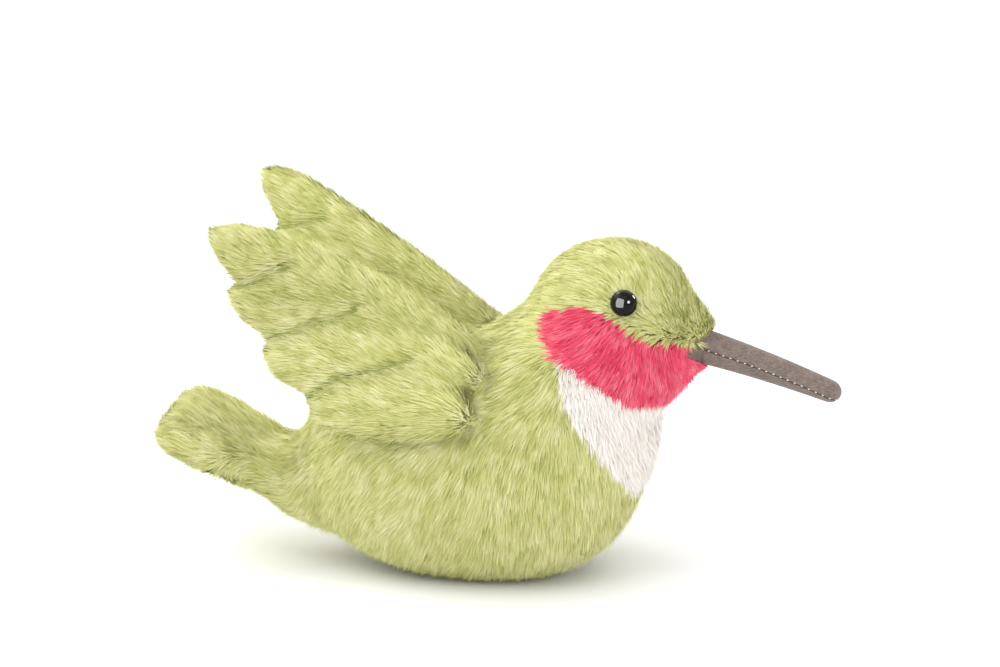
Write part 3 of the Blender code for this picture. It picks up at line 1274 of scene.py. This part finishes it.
class Skin:
    """The fabric skin: the form drawn in by the depth of the pile."""

    grain: float = 0.0010  # size of the skin's faces
    offset: float = 0.02  # keeps the drawn volume's values above zero
    margin: float = 0.004  # of the volume round the form
    easing: int = 3  # smoothing passes

    def __init__(self, form: StuffedForm) -> None:
        """Makes the skin and works out what the pile does on it.

        Args:
            form: the stuffed form.
        """
        self.form = form
        outline = form.outline.data
        up = normals_of(outline)
        around = Measures(form, points_of(outline), up, edges_of(outline))
        write_attribute(outline, "up", up)
        write_attribute(outline, "draw_in", around.draw_in())
        mesh = largest_shell(worked_mesh(form.outline, self.tree(), {"Shift": self.offset}))
        self.obj = placed("fabric_skin", mesh)
        self.eased()
        self.measure()

    def tree(self) -> bpy.types.NodeTree:
        """The geometry nodes that draw a closed form in by its own draw_in attribute.

        Returns:
            The node tree.
        """
        graph = GeometryGraph("Drawn-in skin")
        shift = graph.inlet("Shift")
        form = graph.given()
        place = graph.node("GeometryNodeInputPosition", {}, {})
        out = graph.attribute("up", "FLOAT_VECTOR")
        near = graph.nearest(form, place, place)
        away = graph.nearest(form, out, place)
        depth = graph.nearest(form, graph.attribute("draw_in"), place, "FLOAT")
        gap = near - place
        inside = gap.maths("SIGN", gap.dot(away)) * gap.maths("LENGTH", gap)
        low, high = self.form_box()
        box = {"Density": inside - depth + shift, "Background": 0.0}
        box |= {"Min": tuple(low), "Max": tuple(high)}
        for axis, side in zip("XYZ", high - low):
            box[f"Resolution {axis}"] = max(2, round(side / self.grain))
        volume = graph.node("GeometryNodeVolumeCube", {}, box)
        values = {"Volume": volume, "Threshold": shift}
        graph.finish(graph.node("GeometryNodeVolumeToMesh", {}, values))
        return graph.tree

    def form_box(self) -> tuple[Vector, Vector]:
        """The form's box, with a margin.

        Returns:
            Its lowest and highest corner.
        """
        points = points_of(self.form.outline.data)
        edge = np.full(3, self.margin)
        return Vector(points.min(0) - edge), Vector(points.max(0) + edge)

    def eased(self) -> None:
        """Rounds off the grain of the drawn volume."""
        ease = self.obj.modifiers.new("ease", "SMOOTH")
        ease.iterations = self.easing
        rough = self.obj.data
        self.obj.data = plain_mesh(self.obj)
        self.obj.modifiers.remove(ease)
        bpy.data.meshes.remove(rough)
        smooth_shading(self.obj.data)

    def measure(self) -> None:
        """Puts the pile's measures on the skin's points."""
        mesh = self.obj.data
        edges = edges_of(mesh)
        up = unit_rows(evened(normals_of(mesh), edges, 2))
        found = Measures(self.form, points_of(mesh), up, edges)
        values = {
            "up": up,
            "lay": found.lay(),
            "pile": found.lock_length(),
            "lift": found.draw_in() * (1 - found.gape),
            "full": found.fullness(),
            "crease": found.crease,
            "throat": found.mask(Panel.THROAT),
            "bib": found.mask(Panel.BIB),
            "gape": found.gape,
        }
        for name, rows in values.items():
            write_attribute(mesh, name, rows)
        self.measures = found

    def dressed(self) -> bpy.types.Object:
        """Gives the skin its finish and its place in the toy.

        Returns:
            The skin's object.
        """
        mesh = self.obj.data
        mesh.materials.clear()
        mesh.materials.append(BACKING.material())
        mesh.polygons.foreach_set("material_index", np.zeros(len(mesh.polygons), np.int32))
        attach(self.obj, "root")
        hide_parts(*self.form.nodes)
        return self.obj


# ---- the coat -----------------------------------------------------------------------


@dataclass
class Coat:
    """The pile: locks that grow from the skin out to the form, panel by panel."""

    skin: Skin
    per_square_metre: float = 1.75e7  # how many locks grow
    half_width: float = 0.00012  # of a lock
    clump_gap: float = 0.0011  # between two clumps
    clumping: float = 0.34  # how far locks lean towards their clump's tip
    sway: float = 0.95  # how far the lay wanders
    wave_scale: float = 90.0  # wanderings to the metre
    ripple: float = 0.5  # how far it wanders on a smaller scale
    ripple_scale: float = 420.0
    toss: float = 0.17  # how far each lock turns from the lay on its own
    tuft_scale: float = 330.0  # tufts to the metre
    stray_share: float = 0.07  # of locks that stand out from the rest
    wrap: float = 0.85  # how closely the tips follow the form
    fuzz: float = 0.0011  # how far the tips' heights differ
    root_depth: float = 0.0003  # how far the roots lie inside the skin
    knee: float = 0.30  # where a lock bends, as a share of its length
    tilt: float = 0.30  # how far its shading turns
    roll: float = 0.35  # how far it turns on its own length
    most_triangles: int = 190000  # in one piece of the coat
    patch: float = 0.003  # side of a lock's patch on the bake map
    seed: int = 7

    def lock(self) -> bpy.types.Object:
        """The pattern of one lock: a blade that bends once and tapers to its tip.

        Returns:
            The object. Its points carry how far across and how far along the lock
            they lie, and its faces a square bake patch.
        """
        corners = ((-0.8, 0.0), (0.8, 0.0), (-1.0, 0.5), (1.0, 0.5), (0.0, 1.0))
        section = [(across, 0.0, along) for across, along in corners]
        mesh = bpy.data.meshes.new("lock")
        mesh.from_pydata([(0.0, 0.0, 0.0)] * len(section), [], [(0, 1, 3, 2), (2, 3, 4)])
        write_attribute(mesh, "section", np.array(section))
        patch = mesh.attributes.new("patch", "FLOAT_VECTOR", "CORNER")
        for corner, loop in enumerate(mesh.loops):
            across, _, along = section[loop.vertex_index]
            patch.data[corner].vector = (across / 2, along - 0.5, 0.0)
        return placed("lock_pattern", mesh)

    def paths(self, graph: GeometryGraph, points: Signal, seed: int, inlets: dict) -> Signal:
        """Works out each lock's path from its root.

        Args:
            graph: the coat's node tree.
            points: the roots, which carry the skin's measures.
            seed: the number that sets its random values.
            inlets: the tree's inputs.

        Returns:
            The points with attributes for the path.
        """
        place = graph.node("GeometryNodeInputPosition", {}, {})
        up = graph.attribute("up", "FLOAT_VECTOR").unit()
        wave = self.noise(graph, place, self.wave_scale, "Color") - (0.5, 0.5, 0.5)
        ripple = self.noise(graph, place, self.ripple_scale, "Color") - (0.5, 0.5, 0.5)
        toss = self.scatter(graph, self.toss, seed)
        tuft = (self.noise(graph, place, self.tuft_scale, "Fac") - 0.5) * 3.0
        tuft = tuft.at_least(-1.0).at_most(1.0)
        lay = graph.attribute("lay", "FLOAT_VECTOR") + wave * inlets["Sway"]
        lay = lay + ripple * self.ripple + toss
        lay = (lay - up * lay.dot(up)).unit()
        stray = graph.chance(0.0, 1.0, seed + 1).above(1 - self.stray_share)
        length = graph.attribute("pile") * graph.chance(0.62, 1.15, seed + 2)
        lift = graph.attribute("lift") * graph.chance(0.7, 1.1, seed + 3) * (tuft * 0.12 + 1.0)
        root = place - up * self.root_depth
        knee = root + lay * (length * self.knee) + up * lift
        tip = root + lay * (length * 0.92) + up * lift
        edge = graph.nearest(inlets["outline"], place, tip)
        out = graph.nearest(inlets["outline"], graph.attribute("up", "FLOAT_VECTOR"), tip).unit()
        tucked = graph.chance(-1.7, 0.6, seed + 4) * (1 - stray)
        height = tucked + graph.chance(0.3, 2.0, seed + 7) * stray + tuft * 0.45
        tip = tip + out * ((height * inlets["Fuzz"] - (tip - edge).dot(out)) * inlets["Wrap"])
        tilt = self.scatter(graph, self.tilt, seed + 8)
        vectors = {"g_root": root, "g_tip": tip, "g_knee": knee, "g_out": out, "g_tilt": tilt}
        for name, value in vectors.items():
            points = graph.keep(points, name, value, "FLOAT_VECTOR")
        points = graph.keep(points, "g_roll", graph.chance(-self.roll, self.roll, seed + 9))
        points = graph.keep(points, "g_girth", graph.chance(0.6, 1.35, seed + 5))
        points = graph.keep(points, "tuft", tuft)
        return graph.keep(points, "tone", graph.chance(0.0, 1.0, seed + 6))

    @staticmethod
    def noise(graph: GeometryGraph, place: Signal, scale: float, output: str) -> Signal:
        """Noise at a place, with so many waves to the metre."""
        values = {"Vector": place, "Scale": scale, "Detail": 1.0}
        return graph.node("ShaderNodeTexNoise", {}, values, output)

    @staticmethod
    def scatter(graph: GeometryGraph, spread: float, seed: int) -> Signal:
        """A random vector for each element, up to so much each way."""
        values = {"Min": (-spread,) * 3, "Max": (spread,) * 3, "Seed": seed}
        return graph.node("FunctionNodeRandomValue", {"data_type": "FLOAT_VECTOR"}, values)

    def tree(self) -> bpy.types.NodeTree:
        """The geometry nodes that grow the coat on one piece of skin.

        Returns:
            The node tree.
        """
        graph = GeometryGraph("Coat of pile")
        sizes = ("Locks per area", "Half width", "Clump gap", "Clumping", "Sway", "Wrap", "Fuzz")
        inlets = {name: graph.inlet(name) for name in sizes}
        objects = {name: graph.inlet(name, "Object") for name in ("Lock", "Outline")}
        seed = graph.inlet("Seed", "Int")
        finish = graph.inlet("Finish", "Material")
        lock, outline = (
            graph.node("GeometryNodeObjectInfo", {}, {"Object": obj}, "Geometry")
            for obj in objects.values()
        )
        inlets["outline"] = outline
        pelt = graph.given()
        apart = {"Distance Min": inlets["Clump gap"], "Density Max": 2.0e6, "Density Factor": 1.0}
        leaders = graph.node(
            "GeometryNodeDistributePointsOnFaces",
            {"distribute_method": "POISSON"},
            {"Mesh": pelt, "Seed": seed, **apart},
            "Points",
        )
        leaders = self.paths(graph, leaders, 100, inlets)
        density = inlets["Locks per area"] * graph.attribute("full")
        roots = graph.node(
            "GeometryNodeDistributePointsOnFaces",
            {"distribute_method": "RANDOM"},
            {"Mesh": pelt, "Density": density, "Seed": seed + 1},
            "Points",
        )
        roots = self.paths(graph, roots, 200, inlets)
        place = graph.node("GeometryNodeInputPosition", {}, {})
        leader = graph.node(
            "GeometryNodeSampleNearest", {}, {"Geometry": leaders, "Sample Position": place}
        )
        leader_tip = graph.value_of(leaders, leader, "g_tip", "FLOAT_VECTOR")
        tip = graph.attribute("g_tip", "FLOAT_VECTOR")
        pull = (leader_tip - tip) * inlets["Clumping"] * graph.chance(0.4, 1.1, 300)
        roots = graph.keep(roots, "g_pull", pull, "FLOAT_VECTOR")
        roots = graph.keep(roots, "clump", graph.value_of(leaders, leader, "tone", "FLOAT"))
        locks = graph.node("GeometryNodeInstanceOnPoints", {}, {"Points": roots, "Instance": lock})
        locks = graph.node("GeometryNodeRealizeInstances", {}, {"Geometry": locks})
        locks = self.bent(graph, locks, inlets["Half width"])
        locks = graph.node("GeometryNodeSetShadeSmooth", {}, {"Geometry": locks})
        graph.finish(locks, finish)
        return graph.tree

    def bent(self, graph: GeometryGraph, locks: Signal, half_width: Signal) -> Signal:
        """Bends each lock along its path and gives it its bake patch.

        Args:
            graph: the coat's node tree.
            locks: the locks, all still at their roots.
            half_width: half a lock's width.

        Returns:
            The locks in place.
        """
        section = graph.attribute("section", "FLOAT_VECTOR")
        across, along = section.part(0), section.part(2)
        root = graph.attribute("g_root", "FLOAT_VECTOR")
        pull = graph.attribute("g_pull", "FLOAT_VECTOR")
        knee = graph.attribute("g_knee", "FLOAT_VECTOR") + pull * 0.35
        tip = graph.attribute("g_tip", "FLOAT_VECTOR") + pull
        up = graph.attribute("up", "FLOAT_VECTOR")
        first = root.towards(knee, along)
        second = knee.towards(tip, along)
        middle = first.towards(second, along)
        sideways = (second - first).cross(up).unit()
        outward = sideways.cross(second - first).unit()
        sideways = (sideways + outward * graph.attribute("g_roll")).unit()
        place = middle + sideways * (across * graph.attribute("g_girth") * half_width)
        floor = graph.node(
            "ShaderNodeCombineXYZ",
            {},
            {"X": place.part(0), "Y": place.part(1), "Z": place.part(2).at_least(0.0001)},
        )
        values = {"Geometry": locks, "Position": floor}
        locks = graph.node("GeometryNodeSetPosition", {}, values)
        facing = up.towards(graph.attribute("g_out", "FLOAT_VECTOR"), along)
        facing = facing + graph.attribute("g_tilt", "FLOAT_VECTOR")
        values = {"Mesh": locks, "Custom Normal": facing.unit()}
        locks = graph.node("GeometryNodeSetMeshNormal", {"mode": "FREE", "domain": "POINT"}, values)
        locks = graph.keep(locks, "rise", along)
        seat = graph.attribute("seat", "FLOAT_VECTOR")
        patch = graph.attribute("patch", "FLOAT_VECTOR")
        return graph.node(
            "GeometryNodeStoreNamedAttribute",
            {"data_type": "FLOAT2", "domain": "CORNER"},
            {"Geometry": locks, "Name": BAKE_MAP, "Value": seat + patch * self.patch},
        )

    def pelts(self) -> list[tuple[str, Panel, bpy.types.Object]]:
        """Cuts the skin's faces into pieces that each carry few enough locks.

        Returns:
            For each piece its name, its panel and its object.
        """
        mesh = self.skin.obj.data
        areas = rows_of(mesh.polygons, "area", 1)[:, 0]
        centres = rows_of(mesh.polygons, "center", 3)
        first = [face.vertices[0] for face in mesh.polygons]
        panel_of_face = self.skin.measures.panel[first]
        triangles_each = 3
        made = []
        for number, panel in enumerate(Panel):
            own = panel_of_face == number
            sides = {"": own}
            if panel is Panel.TRUNK:
                sides = {
                    "_right": own & (centres[:, 1] < 0),
                    "_left": own & (centres[:, 1] >= 0),
                }
            for suffix, chosen in sides.items():
                total = areas[chosen].sum() * self.per_square_metre * triangles_each
                bands = math.ceil(total / self.most_triangles)
                order = np.flatnonzero(chosen)[np.argsort(centres[chosen, 0])]
                share = np.cumsum(areas[order]) / areas[order].sum()
                for band in range(bands):
                    within = order[(share > band / bands) & (share <= (band + 1) / bands)]
                    ending = f"_{band + 1}" if bands > 1 else ""
                    name = f"coat_{panel.value}{suffix}{ending}"
                    made.append((name, panel, self.pelt(name, within)))
                    LOG.info("%s: %.0f mm2 of skin", name, areas[within].sum() * 1e6)
        return made

    def pelt(self, name: str, faces: np.ndarray) -> bpy.types.Object:
        """A piece of the skin, unwrapped on its own.

        Args:
            name: the piece's name.
            faces: the numbers of its faces.

        Returns:
            The object, with the skin's measures and a map named seat.
        """
        chosen = np.zeros(len(self.skin.obj.data.polygons), bool)
        chosen[faces] = True
        form = bmesh.new()
        form.from_mesh(self.skin.obj.data)
        spare = [face for face in form.faces if not chosen[face.index]]
        bmesh.ops.delete(form, geom=spare, context="FACES")
        mesh = bpy.data.meshes.new(name)
        form.to_mesh(mesh)
        form.free()
        obj = placed(name + "_pelt", mesh)
        mesh.uv_layers.new(name="seat")
        bpy.context.view_layer.objects.active = obj
        obj.select_set(True)
        bpy.ops.object.mode_set(mode="EDIT")
        bpy.ops.mesh.select_all(action="SELECT")
        bpy.ops.uv.smart_project(angle_limit=math.radians(66), island_margin=0.004)
        bpy.ops.object.mode_set(mode="OBJECT")
        obj.select_set(False)
        return obj

    def grown(self) -> list[bpy.types.Object]:
        """Grows the coat on every piece of skin.

        Returns:
            The coat's objects.
        """
        finishes = {
            Panel.THROAT: (PINK_PILE.material(), "pink_plush"),
            Panel.BIB: (WHITE_PILE.material(), "white_plush"),
        }
        green = (GREEN_PILE.material(), "green_plush")
        tree = self.tree()
        lock = self.lock()
        coat = []
        for number, (name, panel, pelt) in enumerate(self.pelts()):
            finish, slot = finishes.get(panel, green)
            inputs = {
                "Locks per area": self.per_square_metre,
                "Half width": self.half_width,
                "Clump gap": self.clump_gap,
                "Clumping": self.clumping,
                "Sway": self.sway,
                "Wrap": self.wrap,
                "Fuzz": self.fuzz,
                "Lock": lock,
                "Outline": self.skin.form.outline,
                "Seed": self.seed + 10 * number,
                "Finish": finish,
            }
            mesh = worked_mesh(pelt, tree, inputs)
            for attribute in list(mesh.attributes):
                if attribute.name.startswith("g_") or attribute.name in SPENT:
                    mesh.attributes.remove(attribute)
            removed(pelt)
            obj = placed(name, mesh)
            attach(obj, "root")
            coat.append(obj)
            LOG.info("%s: %d faces", name, len(mesh.polygons))
        removed(lock)
        return coat


# ---- bill, stitching and eyes --------------------------------------------------------


@dataclass
class Bill:
    """The suede bill: two halves that meet at a stitched seam along each side."""

    levels: int = 2  # of rounding
    corner: float = 40.0  # degrees, past which an edge stays crisp
    pitch: float = 0.00195  # from one stitch to the next
    stitch_length: float = 0.00062  # that shows of each
    stitch_radius: float = 0.00018
    seam_shares: tuple[float, float] = (0.12, 0.975)  # of the upper half's length
    seam_gap: float = 0.0004  # within which the halves meet
    proud: float = 0.00005  # how far the thread stands out

    def half(self, node: str) -> bpy.types.Object:
        """One half of the bill, rounded from its solid.

        Args:
            node: the CAD node that it stands for.

        Returns:
            The finished object.
        """
        rough = merged_copy([node])
        form = bmesh.new()
        form.from_mesh(rough)
        crease = form.edges.layers.float.new("crease_edge")
        for edge in form.edges:
            if edge.calc_face_angle(0.0) > math.radians(self.corner):
                edge[crease] = 1.0
        form.to_mesh(rough)
        form.free()
        obj = placed(f"{node}_suede", rough)
        rounding = obj.modifiers.new("rounding", "SUBSURF")
        rounding.levels = self.levels
        rounding.render_levels = self.levels
        obj.data = plain_mesh(obj)
        obj.modifiers.remove(rounding)
        bpy.data.meshes.remove(rough)
        smooth_shading(obj.data)
        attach(obj, "root")
        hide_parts(node)
        return obj

    def seam(self, side: Side) -> list[Vector]:
        """The line where the halves meet on one side of the bill.

        Args:
            side: which side.

        Returns:
            Its points from the root to the tip.
        """
        lower = BVHTree.FromPolygons(*loose_form(merged_copy(["bill_lower"])))
        low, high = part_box("bill_upper")
        start, end = (low.x + (high.x - low.x) * share for share in self.seam_shares)
        line = []
        for corner in loose_form(merged_copy(["bill_upper"]))[0]:
            met = lower.find_nearest(corner)[3] < self.seam_gap
            if met and start < corner.x < end and side.value * corner.y > self.seam_gap:
                line.append(corner + Vector((0.0, side.value * self.proud, 0.0)))
        return sorted(line, key=lambda corner: corner.x)

    def stitches(self, lines: list[list[Vector]], thread: bpy.types.Material) -> bpy.types.Object:
        """Short thread stitches along the seams.

        Args:
            lines: the seams.
            thread: the thread's material.

        Returns:
            The finished object.
        """
        mesh = bpy.data.meshes.new("seam_lines")
        corners: list[Vector] = []
        edges = []
        for line in lines:
            steps = range(len(corners), len(corners) + len(line) - 1)
            edges += [(step, step + 1) for step in steps]
            corners += line
        mesh.from_pydata(corners, edges, [])
        guide = placed("seam_guide", mesh)
        graph = GeometryGraph("Stitches")
        pitch, length, radius = (graph.inlet(name) for name in ("Pitch", "Length", "Radius"))
        finish = graph.inlet("Finish", "Material")
        curve = graph.node("GeometryNodeMeshToCurve", {}, {"Mesh": graph.given()})
        points = self.spaced(graph, curve, pitch)
        ball = graph.node(
            "GeometryNodeMeshUVSphere", {}, {"Segments": 8, "Rings": 6, "Radius": radius}
        )
        stretch = graph.node(
            "ShaderNodeCombineXYZ", {}, {"X": 1.0, "Y": 1.0, "Z": length / (radius * 2)}
        )
        turn = graph.node(
            "FunctionNodeAlignRotationToVector",
            {"axis": "Z"},
            {"Vector": graph.attribute("g_ahead", "FLOAT_VECTOR")},
        )
        made = graph.node(
            "GeometryNodeInstanceOnPoints",
            {},
            {"Points": points, "Instance": ball, "Rotation": turn, "Scale": stretch},
        )
        smooth = graph.node("GeometryNodeSetShadeSmooth", {}, {"Geometry": made})
        graph.finish(smooth, finish)
        inputs = {
            "Pitch": self.pitch,
            "Length": self.stitch_length,
            "Radius": self.stitch_radius,
            "Finish": thread,
        }
        obj = placed("bill_stitches", worked_mesh(guide, graph.tree, inputs))
        removed(guide)
        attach(obj, "root")
        LOG.info("%s: %d faces", obj.name, len(obj.data.polygons))
        return obj

    @staticmethod
    def spaced(graph: GeometryGraph, curve: Signal, pitch: Signal) -> Signal:
        """Points along a curve, which keep the direction ahead.

        Args:
            graph: the stitches' node tree.
            curve: the curve.
            pitch: from one point to the next.

        Returns:
            The points.
        """
        ahead = graph.node("GeometryNodeInputTangent", {}, {})
        kept = graph.keep(curve, "g_ahead", ahead, "FLOAT_VECTOR")
        values = {"Curve": kept, "Length": pitch}
        return graph.node("GeometryNodeCurveToPoints", {"mode": "LENGTH"}, values)

    def built(self) -> list[bpy.types.Object]:
        """Both halves and the stitching.

        Returns:
            The finished objects.
        """
        suede = SUEDE.material()
        halves = [self.half("bill_upper"), self.half("bill_lower")]
        for obj in halves:
            obj.data.materials.clear()
            obj.data.materials.append(suede)
            LOG.info("%s: %d faces", obj.name, len(obj.data.polygons))
        lines = [self.seam(side) for side in Side]
        return [*halves, self.stitches(lines, THREAD.material())]


@dataclass
class Eye:
    """A black plastic eye: a dome on a thin collar that sits in the pile."""

    side: Side
    marks: Landmarks
    steps: int = 40  # round the axis
    rings: int = 16  # from the dome's top to its edge
    dome: float = 0.62  # how far round the dome goes, in half turns
    collar: tuple[float, float] = (0.80, -0.55)  # the collar's edge, in eye radii
    underside: float = -0.62  # in eye radii

    def built(self, finish: bpy.types.Material) -> bpy.types.Object:
        """Turns the eye's outline round its axis.

        Args:
            finish: its material.

        Returns:
            The finished object.
        """
        centre = self.marks.eyes[self.side]
        radius = self.marks.eye_radius
        axis = self.marks.eye_axis(self.side)
        across = axis.cross(Vector((0.0, 0.0, 1.0))).normalized()
        outline = [(0.0, radius)]
        for ring in range(1, self.rings + 1):
            turn = self.dome * math.pi * ring / self.rings
            outline.append((radius * math.sin(turn), radius * math.cos(turn)))
        outline.append((self.collar[0] * radius, self.collar[1] * radius))
        outline.append((0.0, self.underside * radius))
        form = bmesh.new()
        places = [Vector(centre) + across * far + axis * height for far, height in outline]
        start = [form.verts.new(place) for place in places]
        edges = [form.edges.new(pair) for pair in zip(start, start[1:])]
        bmesh.ops.spin(
            form,
            geom=start + edges,
            cent=Vector(centre),
            axis=axis,
            angle=2 * math.pi,
            steps=self.steps,
            use_merge=True,
        )
        bmesh.ops.remove_doubles(form, verts=form.verts, dist=MERGE)
        bmesh.ops.recalc_face_normals(form, faces=form.faces)
        name = f"eye_{self.side.name.lower()}"
        mesh = bpy.data.meshes.new(f"{name}_button")
        form.to_mesh(mesh)
        form.free()
        smooth_shading(mesh)
        mesh.materials.append(finish)
        obj = placed(f"{name}_button", mesh)
        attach(obj, "root")
        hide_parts(name)
        LOG.info("%s: %d faces", obj.name, len(mesh.polygons))
        return obj


# ---- studio ---------------------------------------------------------------------------


@dataclass
class Studio:
    """A pale floor, soft lights and the camera."""

    azimuth: float = 10.5  # degrees round from the toy's right side towards its bill
    elevation: float = 16.0
    distance: float = 1.40
    lens: float = 192.5  # millimetres
    floor_size: float = 12.0
    daylight: float = 0.90
    # name: watts; width and height; turn and rise in degrees; distance
    softboxes = {
        "side": (2.1, (0.60, 0.60), -55.0, 36.0, 0.9),
        "top": (2.5, (1.1, 0.9), -10.0, 62.0, 1.1),
        "front": (3.4, (0.8, 0.5), 50.0, 22.0, 1.2),
        "back": (4.4, (0.9, 0.7), -115.0, 48.0, 1.0),
        "far": (2.2, (0.9, 0.7), 165.0, 34.0, 1.1),
    }
    # name: watts; width and height; turn and rise in degrees
    glint_lamps = {
        "window": (0.95, (0.095, 0.105), -25.0, 14.0),
        "spark": (0.12, (0.022, 0.022), 55.0, 20.0),
    }
    glint_distance: float = 0.07

    def aimed(self, obj: bpy.types.Object, place: Vector, target: Vector) -> None:
        """Puts an object at a place and points it at a target."""
        obj.location = place
        obj.rotation_euler = (target - place).to_track_quat("-Z", "Y").to_euler()

    def around(self, target: Vector, azimuth: float, elevation: float, distance: float) -> Vector:
        """The point at an angle and distance round a target.

        Args:
            target: the target.
            azimuth: degrees round from the toy's right side towards its bill.
            elevation: degrees above the target.
            distance: from the target.

        Returns:
            The point.
        """
        turn, rise = math.radians(azimuth), math.radians(elevation)
        back = Vector(
            (math.sin(turn) * math.cos(rise), -math.cos(turn) * math.cos(rise), math.sin(rise))
        )
        return target + back * distance

    def camera(self, target: Vector) -> None:
        """Adds the camera at the toy's viewing angle.

        Args:
            target: the point in the middle of its view.
        """
        data = bpy.data.cameras.new("camera")
        data.lens = self.lens
        data.sensor_width = 36.0
        data.clip_start = 0.05
        data.clip_end = 50.0
        camera = bpy.data.objects.new("camera", data)
        bpy.context.scene.collection.objects.link(camera)
        self.aimed(camera, self.around(target, self.azimuth, self.elevation, self.distance), target)
        bpy.context.scene.camera = camera

    def lamp(
        self, name: str, power: float, size: tuple[float, float], place: Vector, target: Vector
    ) -> bpy.types.Object:
        """Adds a soft rectangular light.

        Args:
            name: its name.
            power: in watts.
            size: its width and height.
            place: where it stands.
            target: what it points at.

        Returns:
            The light's object.
        """
        data = bpy.data.lights.new(name, "AREA")
        data.shape = "RECTANGLE"
        data.energy = power
        data.size, data.size_y = size
        lamp = bpy.data.objects.new(name, data)
        bpy.context.scene.collection.objects.link(lamp)
        self.aimed(lamp, place, target)
        return lamp

    def built(self, target: Vector) -> None:
        """Sets up the floor, the lights and the camera.

        Args:
            target: the point that they are set up round.
        """
        half = self.floor_size / 2
        corners = [(-half, -half, 0.0), (half, -half, 0.0), (half, half, 0.0), (-half, half, 0.0)]
        mesh = bpy.data.meshes.new("floor")
        mesh.from_pydata(corners, [], [(0, 1, 2, 3)])
        mesh.materials.append(PAPER.material())
        placed("floor", mesh)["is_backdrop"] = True
        self.camera(target)
        for name, (power, size, turn, rise, distance) in self.softboxes.items():
            place = self.around(target, self.azimuth + turn, rise, distance)
            self.lamp(f"{name} softbox", power, size, place, target)
        world = bpy.data.worlds.new("studio")
        world.use_nodes = True
        background = world.node_tree.nodes["Background"]
        background.inputs["Color"].default_value = (1.0, 1.0, 1.0, 1.0)
        background.inputs["Strength"].default_value = self.daylight
        bpy.context.scene.world = world
        bpy.context.scene.view_settings.view_transform = "Standard"

    def glints(self, eyes: list[bpy.types.Object], marks: Landmarks) -> None:
        """Adds small lights that only the eyes catch, as a window and a lamp would show in them.

        Args:
            eyes: the finished eyes.
            marks: the toy's landmarks.
        """
        caught = bpy.data.collections.new("eyes")
        for eye in eyes:
            caught.objects.link(eye)
        for side, centre in marks.eyes.items():
            for name, (power, size, turn, rise) in self.glint_lamps.items():
                place = self.around(Vector(centre), turn, rise, self.glint_distance)
                if side is Side.LEFT:
                    place.y = 2 * centre[1] - place.y
                lamp = self.lamp(f"{name} {side.name.lower()}", power, size, place, Vector(centre))
                lamp.visible_camera = False
                lamp.light_linking.receiver_collection = caught


def main() -> None:
    """Builds the toy and the studio, and logs the pieces' face counts."""
    logging.basicConfig(level=logging.INFO, format="%(message)s")
    cad_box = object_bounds()
    marks = Landmarks()
    middle = (cad_box[0] + cad_box[1]) / 2
    studio = Studio()
    studio.built(Vector((middle.x, middle.y, cad_box[1].z * 0.639)))
    form = StuffedForm(marks)
    LOG.info("outer form: %d faces", len(form.outline.data.polygons))
    skin = Skin(form)
    LOG.info("skin: %d faces", len(skin.obj.data.polygons))
    Coat(skin).grown()
    skin.dressed()
    removed(form.outline)
    Bill().built()
    eye_black = EYE_BLACK.material()
    studio.glints([Eye(side, marks).built(eye_black) for side in Side], marks)


if __name__ == "__main__":
    main()
